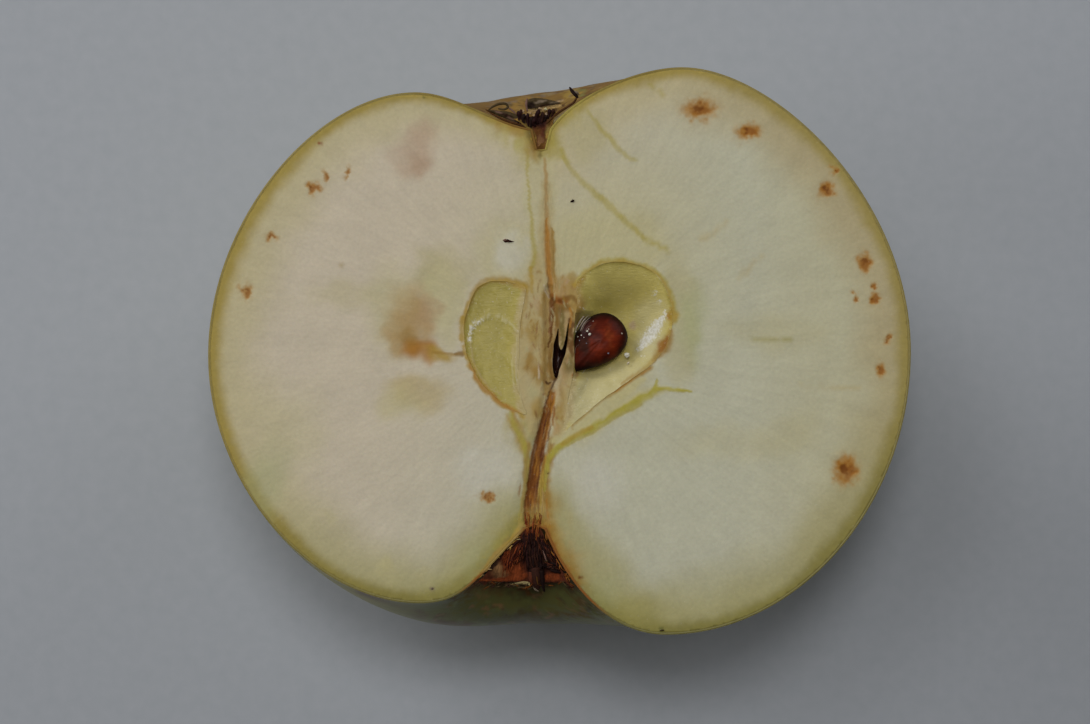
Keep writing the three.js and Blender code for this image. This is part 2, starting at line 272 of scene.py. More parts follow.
def fruit_profile(angles, steps):
    """Radius and height of the skin, one row for each angle, from the end of the calyx tube to the pit."""
    angles = np.asarray(angles, dtype=float)
    cheek, calyx, stalk = (np.stack([rib_value(angles, key, k) for k in range(2)], -1)
                           for key in ("cheek", "calyx", "stalk"))
    full = [rib_value(angles, "full", k) for k in range(4)]
    up, down = (np.radians(rib_value(angles, "slope", k)) for k in range(2))
    mouth, lip = (np.tile(np.array(p, dtype=float), (len(angles), 1)) for p in (MOUTH, PIT_LIP))
    shift = lambda base, x, y: base + np.stack(np.broadcast_arrays(x, y, up)[:2], -1)
    curves = [
        (mouth, shift(mouth, CALYX_ENTRY * np.cos(up), CALYX_ENTRY * np.sin(up)),
         shift(calyx, -CALYX_CREST * calyx[:, 0], 0), calyx),
        (calyx, shift(calyx, full[0] * (cheek - calyx)[:, 0], 0),
         shift(cheek, 0, full[1] * (calyx - cheek)[:, 1]), cheek),
        (cheek, shift(cheek, 0, full[2] * (stalk - cheek)[:, 1]),
         shift(stalk, full[3] * (cheek - stalk)[:, 0], 0), stalk),
        (stalk, shift(stalk, -PIT_CREST * stalk[:, 0], 0),
         shift(lip, PIT_ENTRY * np.cos(down), -PIT_ENTRY * np.sin(down)), lip),
    ]
    rows = [np.tile([[[TUBE_RADIUS, TUBE_END]]], (len(angles), 1, 1))]
    for k, curve in enumerate(curves):
        t = np.linspace(0, 1, steps[k] + 1)[0 if k == 0 else 1:][None, :, None]
        a, b, c, d = (p[:, None, :] for p in curve)
        rows.append((1 - t) ** 3 * a + 3 * (1 - t) ** 2 * t * b + 3 * (1 - t) * t**2 * c + t**3 * d)
    profile = np.concatenate(rows, 1)
    ribs_round = np.sin(5 * np.radians(angles))[:, None]
    profile[..., 0] += RIB_RELIEF * ribs_round * smoothstep(profile[..., 0], 4, 16)
    return profile


def on_fruit(radius, height, angle):
    """Points of the fruit from radius, height and angle round its axis in degrees."""
    turn = np.radians(angle)
    x = AXIS_X + AXIS_LEAN * height + radius * np.cos(turn)
    return np.stack(np.broadcast_arrays(x, height, CUT_Z - radius * np.sin(turn)), -1)


edge = fruit_profile([0, 180], (60, 60, 60, 60))
print("cheeks reach", round(edge[0, :, 0].max(), 1), "and", round(edge[1, :, 0].max(), 1), "mm from the axis")

# %% [markdown]
# ## Random hills and smooth curves
# Nature needs two things again and again: random hills of a chosen size, and smooth curves through a few
# points. Random numbers on a grid, blended smoothly, make the hills; each octave adds finer ones. All random
# draws are seeded, so that the fruit comes out the same each time.


# %% Hills, curves and distances
def mottle(xy, size, seed, octaves=1):
    """Random hills from about -1 to 1, `size` mm apart, with one finer layer for each further octave."""
    table = np.random.default_rng(seed).uniform(-1, 1, (128, 128))
    total, share = np.zeros(len(xy)), 1.0
    for _ in range(octaves):
        cell = np.floor(xy / size).astype(int)
        part = xy / size - cell
        part = part * part * (3 - 2 * part)
        corners = ((0, 0), (1, 0), (0, 1), (1, 1))
        a, b, c, d = (table[(cell[:, 0] + i) % 128, (cell[:, 1] + j) % 128] for i, j in corners)
        near, far = a + part[:, 0] * (b - a), c + part[:, 0] * (d - c)
        total += share * (near + part[:, 1] * (far - near))
        size, share = size / 2, share / 2
    return total


def wandered(xy, size, amount, seed, octaves=2):
    """Points moved about by random hills, which gives a mark an uneven edge."""
    return xy + amount * np.stack([mottle(xy, size, seed, octaves), mottle(xy, size, seed + 1, octaves)], 1)


def through(points, steps=8, closed=False, spatial=2):
    """A smooth curve through rows of numbers, the first `spatial` of which are coordinates."""
    p = np.asarray(points, dtype=float)
    p = np.vstack([p[-1:], p, p[:2]]) if closed else np.vstack([2 * p[:1] - p[1:2], p, 2 * p[-1:] - p[-2:-1]])
    gaps = np.maximum(np.linalg.norm(np.diff(p[:, :spatial], axis=0), axis=1) ** 0.5, 1e-4)[:, None]
    parts = []
    for i in range(1, len(p) - 2):
        d0, d1, d2 = gaps[i - 1], gaps[i], gaps[i + 1]
        m1 = ((p[i] - p[i - 1]) / d0 - (p[i + 1] - p[i - 1]) / (d0 + d1) + (p[i + 1] - p[i]) / d1) * d1
        m2 = ((p[i + 1] - p[i]) / d1 - (p[i + 2] - p[i]) / (d1 + d2) + (p[i + 2] - p[i + 1]) / d2) * d1
        t = np.linspace(0, 1, steps, endpoint=False)[:, None]
        parts.append((2 * t**3 - 3 * t**2 + 1) * p[i] + (t**3 - 2 * t**2 + t) * m1
                     + (3 * t**2 - 2 * t**3) * p[i + 1] + (t**3 - t**2) * m2)
    return np.vstack(parts if closed else parts + [p[-2:-1]])


def in_chunks(xy, work, size=4000):
    """The results of `work` on many points, taken a few thousand at a time to spare memory."""
    return np.concatenate([work(xy[i:i + size]) for i in range(0, len(xy), size)]) if len(xy) else np.zeros(0)


def loop_distance(xy, loop):
    """Distance in mm from each point to a closed loop."""
    a, b = loop, np.roll(loop, -1, axis=0)
    along = b - a
    length2 = np.maximum((along**2).sum(1), 1e-9)

    def work(p):
        t = np.clip(((p[:, None] - a) * along).sum(2) / length2, 0, 1)
        return np.linalg.norm(p[:, None] - a - t[..., None] * along, axis=2).min(1)

    return in_chunks(xy, work)


def inside(xy, loop):
    """True where a point lies inside a closed loop, by counting how often a line to it crosses the loop."""
    a, b = loop, np.roll(loop, -1, axis=0)
    slope = (b - a)[:, 0] / np.where(b[:, 1] == a[:, 1], 1e-12, (b - a)[:, 1])

    def work(p):
        spans = (a[:, 1] > p[:, None, 1]) != (b[:, 1] > p[:, None, 1])
        crossed = spans & (p[:, None, 0] < a[:, 0] + slope * (p[:, None, 1] - a[:, 1]))
        return (crossed.sum(1) % 2).astype(float)

    return in_chunks(xy, work) > 0.5


# %% [markdown]
# ## How a mark is laid
# A mark is a line of changing width or an oval stain. It has a tint, a strength, a crispness from 0, which
# fades from its middle, to 1, which ends sharply, and a press: how far in mm it stands up or, when negative,
# sinks in. Marks are laid one over another in order, as a painter glazes. A line thinner than the mesh can
# hold is drawn a little wider and fainter, or it would break up into beads.


# %% Lay marks on points of the cut plane
THINNEST = 0.13


def line_share(xy, line):
    """1 on a line, falling to 0 at its half-width, which is each row's third number."""
    a, b = line[:-1], line[1:]
    along = b[:, :2] - a[:, :2]
    length2 = np.maximum((along**2).sum(1), 1e-9)

    def work(p):
        t = np.clip(((p[:, None] - a[None, :, :2]) * along).sum(2) / length2, 0, 1)
        away = np.linalg.norm(p[:, None] - a[None, :, :2] - t[..., None] * along, axis=2)
        width = a[:, 2] + t * (b[:, 2] - a[:, 2])
        return (np.clip(1 - away / np.maximum(width, THINNEST), 0, 1)
                * np.clip(width / THINNEST, 0, 1)).max(1)

    return in_chunks(xy, work)


def lay(xy, colour, height, marks, uneven=0.0, grain=0.8, seed=100, patchy=0.0):
    """Lay marks over the colours and heights of points. `uneven` is how far their edges wander, in mm, and
    `patchy` is the share of its strength that a mark may lose by chance."""
    worn = 1 - patchy * np.clip(0.5 + 0.9 * mottle(xy, 1.6 * grain, seed + 9, 3), 0, 1)
    moved = wandered(xy, grain, uneven, seed, 3) if uneven else xy
    for tint, strength, crisp, press, shape in marks:
        if isinstance(shape, list):
            line = through(shape, 7)
            margin = line[:, 2].max() + 0.2
            low, high = line[:, :2].min(0) - margin, line[:, :2].max(0) + margin
            near = np.flatnonzero(((moved > low) & (moved < high)).all(1))
            share = line_share(moved[near], line)
        else:
            x, y, half_x, half_y, turn = shape
            c, s = math.cos(math.radians(turn)), math.sin(math.radians(turn))
            reach = max(half_x, half_y)
            near = np.flatnonzero((np.abs(moved - (x, y)) < reach).all(1))
            dx, dy = moved[near, 0] - x, moved[near, 1] - y
            share = np.clip(1 - np.hypot((c * dx + s * dy) / half_x, (c * dy - s * dx) / half_y), 0, 1)
        mask = strength * worn[near] * smoothstep(share, 0, 0.75 * (1.02 - crisp))
        height[near] += press * mask
        blend = mask
        if colour.shape[1] == 4:
            cover = mask + colour[near, 3] * (1 - mask)
            blend = mask / np.maximum(cover, 1e-6)
            colour[near, 3] = cover
        colour[near, :3] += blend[:, None] * (rgb_of(tint) - colour[near, :3])


# %% [markdown]
# ## The core
# Two of the five seed chambers are cut open. The right one is deep and holds the pip; it runs out in a
# shallow tail. The left one is shallow and shows only the print that its pip left. Between them the core
# has split into a dark slit, with a tongue of tissue left standing in it. The outlines are closed smooth
# curves; each narrows to its centre as it goes down, along a rounded bowl.

# %% Outlines of the hollows, in millimetres
FULL_CHAMBER = dict(depth=3.7, centre=(5.6, 2.2), outline=[
    (1.75, 7.0), (3.0, 8.0), (4.6, 8.75), (6.2, 8.95), (7.8, 8.7), (9.3, 8.1), (10.4, 7.0), (11.1, 5.7),
    (11.5, 4.3),
    (11.6, 2.8), (11.3, 1.3), (10.6, -0.2), (9.4, -1.6), (7.6, -2.9), (5.8, -4.2), (4.0, -5.5), (2.3, -6.9),
    (0.9, -8.1), (0.35, -8.5), (0.6, -6.8), (0.95, -4.8), (1.3, -3.2), (1.47, -2.4), (1.5, -1.2), (1.5, 0.1),
    (1.47, 1.2), (1.5, 2.2), (1.62, 3.3), (1.75, 4.3), (1.8, 5.2), (1.7, 6.1)])
EMPTY_CHAMBER = dict(depth=0.45, centre=(-6.4, 1.0), outline=[
    (-8.3, 6.4), (-7.2, 6.95), (-5.8, 7.0), (-4.2, 6.7), (-3.5, 6.3), (-3.6, 5.2), (-3.9, 3.5), (-4.1, 1.5),
    (-4.15, 0),
    (-4.2, -2.0), (-4.1, -4.0), (-3.6, -6.0), (-3.4, -6.7), (-4.8, -6.2), (-5.9, -5.6), (-7.0, -4.6),
    (-8.1, -3.4), (-8.9, -2.0), (-9.5, -0.7), (-9.75, 1.0), (-9.8, 2.8), (-9.4, 4.2), (-8.9, 5.4)])
CORE_SLIT = dict(depth=3.0, centre=(-0.1, -0.8), outline=[
    (-0.12, 2.15), (-0.1, 1.2), (-0.02, 0.35), (0.2, -0.12), (0.42, 0.35), (0.66, 1.4), (0.92, 2.7),
    (0.86, 1.2),
    (0.68, -0.1), (0.34, -1.2), (0.0, -2.1), (-0.3, -2.95), (-0.5, -2.9), (-0.72, -2.0), (-0.7, -0.8),
    (-0.58, 0.4), (-0.35, 1.4)])
STEEP, GENTLE = (2.6, 0.5), (1.7, 0.85)  # how the two kinds of wall go down: 1 - share**a, to the power b
SHARES = np.array([0.9985, 0.994, 0.985, 0.97, 0.95, 0.925, 0.895, 0.86, 0.82, 0.775, 0.73, 0.68, 0.625,
                   0.57, 0.515, 0.46, 0.405, 0.35, 0.295, 0.24, 0.185, 0.13])
TAIL_FROM, TAIL_TO, TAIL_SHARE = 0.5, -5.8, 0.15


def rim_of(hollow, steps):
    """The rim of a hollow as a closed loop that turns left, with a slight natural waver."""
    rim = through(hollow["outline"], steps, closed=True)
    area = np.sum(rim[:, 0] * np.roll(rim[:, 1], -1) - np.roll(rim[:, 0], -1) * rim[:, 1])
    return wandered(rim if area > 0 else rim[::-1], 0.7, 0.03, 3)


def floor_depth(hollow, ring, share):
    """How deep a ring of a hollow lies. The full chamber is steep only beside the pip."""
    steep, gentle = (hollow["depth"] * (1 - share**a) ** b for a, b in (STEEP, GENTLE))
    x, y = ring[:, 0], ring[:, 1]
    if hollow is EMPTY_CHAMBER:
        return steep * (0.1 + 0.9 * smoothstep(-x, 3.7, 5.8))
    if hollow is CORE_SLIT:
        return steep * np.ones(len(ring))
    open_ends = np.maximum(smoothstep(y, 3.0, 5.5), smoothstep(-y, 2.2, 3.4))
    open_side = np.maximum(smoothstep(x, 3.2, 6.0), open_ends)
    depth = steep + open_side * (gentle - steep)
    depth *= TAIL_SHARE + (1 - TAIL_SHARE) * smoothstep(y, TAIL_TO, TAIL_FROM)
    depth *= 1 - 0.93 * (1 - smoothstep(x, 1.6, 5.4)) * smoothstep(y, 2.6, 4.2)
    depth *= 1 - 0.55 * smoothstep(y, 4.0, 8.2)
    return depth * (1 - 0.93 * (1 - smoothstep(x, 1.0, 3.8)) * smoothstep(-y, 2.4, 3.4))


HOLLOWS = [(FULL_CHAMBER, 9), (EMPTY_CHAMBER, 10), (CORE_SLIT, 7)]
rims = [rim_of(hollow, steps) for hollow, steps in HOLLOWS]
print("rims have", [len(rim) for rim in rims], "points")

# %% [markdown]
# ## Cream, and the yellow band under the skin
# Cut apple flesh isn't one colour. It drifts from warm cream on the left to a cooler, greener cream on the
# right, and under the skin a band of smaller green cells turns it yellow-olive over some five millimetres.
# Three creams and three zones of the band are blended by place, which keeps every change gradual.

# %% Tints of the cream and of the band
BAND = [("sunny band", "dull band", "shaded band"),  # close under the skin, and deeper
        ("sunny band, deeper", "dull band, deeper", "shaded band, deeper")]
BAND_DEEP, BAND_END = (0.3, 1.8), (1.4, 7.5)  # mm under the skin over which it pales, then turns to cream
CALYX_SIDE, CALYX_SPREAD, CALYX_NARROWING = 105, 25, 0.4  # degrees, degrees, share


def blended(colour, tint, share):
    """Rows of colour with a share of one tint blended into each."""
    return colour + np.asarray(share)[:, None] * (rgb_of(tint) - colour)


def drifting_cream(xy):
    """Warm on the left, cooler to the right and the stalk, straw round the core and at the far right."""
    x, y = xy[:, 0], xy[:, 1]
    colour = blended(painted("warm cream", len(xy)), "cool cream", smoothstep(x - 0.4 * y, -22, 14))
    round_core = 0.7 * np.exp(-((x - 4) ** 2 + (y - 10) ** 2) / 130)
    return blended(colour, "straw", np.maximum(round_core, 0.4 * smoothstep(x, 16, 28)))


def banded(xy, colour, outline):
    """Blend the band over the cream: golden by the calyx, duller on the right cheek, green by the stalk."""
    skin_mm = loop_distance(xy, outline)
    angle = np.degrees(np.arctan2(xy[:, 1], xy[:, 0]))
    right_cheek = smoothstep(np.cos(np.radians(angle)), 0.2, 0.8)
    by_stalk = smoothstep(-np.sin(np.radians(angle - 10)), 0, 0.95)
    near, far = (blended(blended(painted(sunny, len(xy)), dull, right_cheek), shaded, by_stalk)
                 for sunny, dull, shaded in BAND)
    breadth = 1 - CALYX_NARROWING * np.exp(-(((angle - CALYX_SIDE) / CALYX_SPREAD) ** 2))
    uneven = (skin_mm * (1 + 0.22 * mottle(xy, 4.5, 61, 2)) + 0.12 * mottle(xy, 0.8, 62, 2)) / breadth
    band = near + smoothstep(uneven, *BAND_DEEP)[:, None] * (far - near)
    return band + smoothstep(uneven, *BAND_END)[:, None] * (colour - band), skin_mm


# middle of the hollow's mouth, which side of it, reach, then distance from the skin, tint and cover
HALOS = [
    ((-2.6, -21.5), -1, 7.6, [(0.0, "tissue", 0.8), (0.25, "tissue", 0.75), (0.7, "parchment", 0.65),
     (1.5, "parchment", 0.35), (2.6, "light tissue", 0.0)]),
    ((-2.6, -21.5), 1, 7.6, [(0.0, "rust", 0.95), (0.35, "ochre", 0.9), (0.9, "tissue", 0.8),
     (1.6, "light tissue", 0.45), (2.6, "dull straw", 0.0)]),
    ((-2.1, 23.0), -1, 6.4, [(0.0, "ochre", 0.85), (0.4, "tissue", 0.75), (1.2, "parchment", 0.4),
     (2.4, "pale parchment", 0.0)]),
    ((-2.1, 23.0), 1, 6.4, [(0.0, "parchment", 0.8), (0.4, "parchment", 0.6), (1.0, "parchment", 0.35),
     (2.0, "pale parchment", 0.0)]),
]


def stained(xy, colour, skin_mm):
    """Brown the flesh along the mouths of both hollows, where cork and dried juice have stained it."""
    for (x, y), side, reach, steps in HALOS:
        away = np.hypot(xy[:, 0] - x, xy[:, 1] - y)
        depth = skin_mm * (1 + 0.35 * mottle(xy, 1.1, 65, 3)) + 0.1 * mottle(xy, 0.4, 66, 2)
        places = [row[0] for row in steps]
        tints = np.array([rgb_of(row[1]) for row in steps])
        stain = np.stack([np.interp(depth, places, tints[:, c]) for c in range(3)], 1)
        cover = np.interp(depth, places, [row[2] for row in steps])
        cover *= 1 - smoothstep(away, 0.55 * reach, reach)
        cover *= smoothstep(side * (xy[:, 0] - x), -0.8, 0.8)
        cover *= np.clip(0.8 + 0.7 * mottle(xy, 0.7, 67, 3), 0.2, 1)
        colour += cover[:, None] * (stain - colour)


# %% [markdown]
# ## Marks on the cut face
# What makes cut flesh look real is its marks: a core line that browns toward the stalk, yellow-green bundles
# of vessels round the core, corky orange spots near the skin, bruises that have begun to oxidise, and a green
# tinge by the stalk. Broad tints come first and fine dark lines last.

# %% Broad tints: tint, strength, crispness, press, then x, y, two radii and a turn
TINTS = [
    ("straw", 0.75, 0.5, 0, (4.5, 10.5, 8.5, 5.0, 0)),
    ("dull straw", 0.7, 0.3, 0, (12.4, 3.0, 2.6, 8.0, 0)), ("straw", 0.6, 0.3, 0, (-5.0, 9.5, 5.0, 5.0, 0)),
    ("straw", 0.7, 0.4, 0, (3.5, -6.0, 8.0, 3.4, 32)), ("straw", 0.6, 0.3, 0, (-2.0, 16.0, 2.2, 7.0, 0)),
    ("pale flesh", 0.6, 0.2, 0, (-5.2, 10.4, 2.6, 2.6, 0)),
    ("dull straw", 0.75, 0.1, 0, (-12.3, 7.8, 4.6, 3.6, 0)),
    ("straw", 0.8, 0.3, 0, (-11.9, 4.5, 3.0, 5.0, 0)), ("straw", 0.65, 0, 0, (-17.0, 4.0, 4.0, 6.5, 0)),
    ("light tissue", 0.7, 0.1, 0, (-14.6, -4.6, 4.6, 2.6, 0)),
    ("pale parchment", 0.6, 0, 0, (-16.5, -6.0, 3.6, 2.4, 0)),
    ("tan", 0.75, 0, -0.02, (-15.2, 3.4, 3.2, 4.6, 0)), ("tan", 0.7, 0.1, 0, (-14.6, 2.6, 1.8, 3.2, 10)),
    ("pollen", 0.6, 0, 0, (-13.6, 3.8, 1.6, 2.9, 0)), ("tan", 0.75, 0, 0, (-16.9, 0.6, 1.9, 2.4, 0)),
    ("amber", 0.95, 0.1, -0.03, (-14.6, -0.3, 2.7, 1.6, 0)),
    ("amber", 0.8, 0.1, 0, (-15.1, -0.2, 1.1, 0.9, 0)),
    ("vessel gold", 0.85, 0.1, 0, (-12.4, -0.5, 2.4, 1.0, 0)),
    ("ochre", 0.6, 0, 0, (-15.2, 1.0, 1.6, 1.4, 0)), ("bruise", 0.7, 0, 0, (-15.6, 19.5, 3.6, 2.9, 20)),
    ("bruise", 0.6, 0, 0, (-15.0, 19.0, 1.8, 1.5, 0)), ("bruise", 0.5, 0, 0, (-16.9, 19.8, 1.5, 1.3, 0)),
    ("bruise", 0.7, 0, 0, (-14.2, 21.8, 2.4, 2.4, 0)),
    ("warm cream", 0.6, 0, 0, (-18.2, 19.4, 3.2, 2.4, 0)),
    ("straw", 0.45, 0, 0, (-27.5, -8.0, 5.5, 7.0, 0)), ("dull straw", 0.4, 0, 0, (-21.5, 5.5, 6.0, 2.4, 0)),
    ("straw", 0.4, 0, 0, (17.0, -9.5, 8.5, 2.6, 0)), ("dull straw", 0.4, 0, 0, (22.0, 2.0, 7.0, 3.0, 0)),
    ("dull straw", 0.4, 0, 0, (23.5, -9.0, 5.0, 3.0, 30)),
    ("olive", 0.55, 0.05, 0, (-10.5, -26.0, 6.5, 3.6, 10)), ("sage", 0.3, 0, 0, (-7.6, -22.0, 3.2, 4.0, 0)),
    ("olive", 0.65, 0, 0, (7.5, -27.2, 6.5, 3.6, -15)), ("sage", 0.3, 0, 0, (4.0, -24.5, 3.5, 3.0, 0)),
    ("sage", 0.55, 0, 0, (13.6, 2.5, 2.2, 6.5, 0)), ("sage", 0.5, 0, 0, (-30.5, -14.5, 3.6, 7.0, -20)),
    ("pale parchment", 0.35, 0, 0, (-23.4, -17.0, 1.6, 1.2, 0)),
    ("pale parchment", 0.5, 0, 0, (-17.3, -22.5, 1.6, 1.3, 0)),
    ("dull straw", 0.5, 0, 0, (-14.4, -23.0, 1.2, 1.2, 0)),
    ("parchment", 0.6, 0.1, 0, (-4.0, -9.0, 2.2, 3.6, 12)),
    ("parchment", 0.55, 0.1, 0, (-3.2, -8.0, 1.1, 2.6, 10)),
    ("vessel gold", 0.7, 0.1, 0, (-4.9, -7.3, 0.9, 0.7, 0)),
    ("vessel gold", 0.7, 0.1, 0, (-3.5, -10.2, 0.9, 0.5, -20)),
    ("pale flesh", 0.6, 0, 0, (4.0, -14.0, 4.0, 4.5, 0)), ("ochre", 0.7, 0, 0, (-2.1, 19.8, 0.5, 1.1, 0)),
    ("ochre", 0.7, 0, 0, (-4.6, 22.4, 1.2, 0.8, -20)),
    ("pale flesh", 0.5, 0, 0, (-8.0, -12.5, 4.0, 3.5, 0)),
    ("vessel green", 0.6, 0, 0, (-3.6, 21.4, 1.4, 1.6, 0)),
    ("parchment", 0.65, 0, 0, (-0.7, 21.6, 1.1, 2.2, 0)),
    ("parchment", 0.5, 0, 0, (-5.8, 23.0, 2.4, 0.9, -15)),
    ("parchment", 0.6, 0, 0, (1.0, 24.6, 2.2, 0.8, 25)),
    ("dull straw", 0.5, 0, 0, (3.0, 22.0, 3.0, 4.0, 0)), ("tissue", 0.6, 0, 0, (-1.6, -16.6, 2.2, 3.2, 0)),
    ("tissue", 0.7, 0, 0, (-0.4, -20.0, 1.6, 3.6, 18)),
]
TISSUE = [  # browned tissue between the chambers and along the core line
    ("light tissue", 0.7, 0, 0, [(-1.3, 17, 0.8), (-1.3, 13, 1.2), (-1.3, 10, 1.6), (-1.2, 8, 2.0),
     (-0.8, 6.5, 2.2)]),
    ("light tissue", 0.95, 0, 0, [(-2.5, 9.5, 0.6), (-2.5, 6.5, 1.9), (-2.5, 3.5, 2.6), (-2.6, 0, 2.8),
     (-2.5, -3.5, 2.6), (-2.3, -6.5, 2.0), (-2.4, -8.6, 0.8)]),
    ("tan", 0.95, 0, 0, [(0.3, 7.0, 0.8), (0.6, 6.2, 1.7), (0.6, 4.5, 2.3), (0.8, 1.5, 2.2),
     (0.8, -1.5, 2.0), (0.8, -4, 1.9), (0.4, -6.5, 1.6), (-0.2, -8.6, 0.8)]),
    ("ochre", 0.8, 0, 0, [(-1.4, 5.6, 0.8), (-1.4, 4.0, 1.0), (-1.2, 2.4, 0.9), (-1.3, 0.5, 0.9),
     (-1.3, -1, 1.0), (-1.2, -3, 1.0), (-1.3, -4.8, 0.6)]), ("pollen", 0.5, 0, 0, (-2.2, 4.8, 0.6, 1.3, 0)),
    ("tan", 0.55, 0, 0, (-3.0, 0.4, 0.5, 1.2, 10)),
    ("umber", 0.85, 0, 0, [(-0.55, 5.2, 0.4), (-0.45, 3.5, 0.5), (-0.3, 2.4, 0.45), (-0.6, 0.6, 0.45),
     (-0.85, -1.2, 0.4), (-0.6, -3.0, 0.45)]),
    ("olive russet", 0.95, 0.2, 0, [(0.2, 4.0, 0.5), (0.2, 2.6, 0.5), (0.2, 1.2, 0.4), (0.2, 0.2, 0.3)]),
    ("tissue", 0.85, 0, 0, (-2.7, 1.5, 1.3, 2.2, 0)), ("ochre", 0.9, 0, 0, (-3.3, -1.3, 0.95, 1.6, 0)),
    ("ochre", 0.9, 0, 0, (-2.3, -2.5, 1.15, 1.5, 0)), ("dull straw", 0.8, 0, 0, (-2.9, -4.6, 1.1, 1.2, 0)),
    ("tissue", 0.9, 0, 0, (-2.3, -6.2, 1.2, 1.5, 0)), ("umber", 0.95, 0.1, 0, (0.6, 4.5, 1.2, 1.1, 0)),
    ("tan", 0.8, 0, 0, (0.6, 6.2, 1.5, 1.3, 0)),
    ("bark", 0.95, 0.1, 0, [(1.3, 3.8, 0.3), (1.25, 2.4, 0.42), (1.2, 1.2, 0.45), (1.15, 0.2, 0.42),
     (1.2, -0.9, 0.25)]), ("olive russet", 0.9, 0, 0, (0.9, -1.7, 0.9, 1.6, 0)),
    ("light tissue", 0.8, 0, 0, (0.9, -3.7, 1.1, 1.2, 0)), ("tissue", 0.85, 0, 0, (0.6, -5.3, 1.2, 1.4, 0)),
    ("tissue", 0.9, 0, 0, (0.0, -6.9, 1.1, 1.5, 0)),
    ("ochre", 0.95, 0, 0, [(-0.7, -9.3, 0.5), (-1.2, -11.5, 0.75), (-1.5, -13, 0.85), (-1.6, -14.5, 0.9),
     (-1.55, -16, 1.0), (-1.4, -17.5, 1.1), (-1.2, -18.8, 1.1)]),
    ("tissue", 0.9, 0, 0, [(-4.6, -7.0, 0.7), (-3.9, -9.4, 1.0), (-3.4, -11.5, 0.8), (-3.4, -13.5, 0.45)]),
]
SEAMS = [  # where the tissue runs over into the chambers without an edge
    ("light tissue", 0.85, 0, 0, [(-3.5, 6.4, 0.6), (-3.8, 4.2, 0.8), (-4.05, 1.8, 0.85),
     (-4.15, -1.0, 0.85), (-4.1, -3.6, 0.85), (-3.8, -5.8, 0.8), (-3.3, -7.2, 0.6)]),
    ("tissue", 0.85, 0, 0, [(1.3, 7.4, 0.8), (1.7, 6.4, 1.1), (1.8, 5.2, 1.1), (1.75, 4.0, 0.8),
     (1.6, 3.0, 0.4)]), ("ochre", 0.6, 0, 0, (1.9, 4.4, 0.9, 1.0, 0)),
    ("light tissue", 0.9, 0, 0, [(1.4, -2.7, 0.5), (1.2, -3.8, 0.85), (0.95, -5.4, 1.0), (0.7, -6.8, 0.9),
     (0.35, -8.4, 0.6)]),
]
CORE_LINE = np.array([(-0.75, -4.6), (-1.3, -7), (-2, -10), (-2.6, -13), (-3.0, -16), (-2.8, -19)])
draw = np.random.default_rng(23)
STREAKS = []
for _ in range(170):  # short fibres between the chambers
    y, long = draw.uniform(-8, 8), draw.uniform(0.3, 1.1)
    wide, slant = draw.uniform(0.06, 0.15), draw.normal(0, 0.12)
    x = draw.uniform(-3.6 + 0.02 * y * y, 1.3)
    tint = ("dull straw", "pale cork", "pollen", "ochre", "ochre", "umber", "light tissue")[draw.integers(7)]
    STREAKS.append((tint, draw.uniform(0.35, 0.8), 0.1, draw.uniform(-0.02, 0.03),
                    [(x, y + long / 2, 0.05), (x + slant, y, wide), (x + 2 * slant, y - long / 2, 0.05)]))
for _ in range(120):  # longer fibres that run down to the stalk
    y, long, wide = draw.uniform(-18.6, -4.6), draw.uniform(0.7, 2.6), draw.uniform(0.06, 0.15)
    spread = 0.45 + 0.05 * (-y - 4.6)
    off = draw.normal(0, 0.5) * spread
    rows = [(float(np.interp(-v, -CORE_LINE[:, 1], CORE_LINE[:, 0])) + off, v)
            for v in (y + long / 2, y, y - long / 2)]
    tint = ("rust", "burnt", "amber", "burnt", "amber", "dark cork", "rust")[draw.integers(7)]
    STREAKS.append((tint, draw.uniform(0.4, 0.85), 0.1, draw.uniform(-0.03, 0.03),
                    [(*rows[0], 0.05), (*rows[1], wide), (*rows[2], 0.05)]))
print(len(TINTS), "broad tints,", len(TISSUE), "tints of the tissue and", len(STREAKS), "fibres")

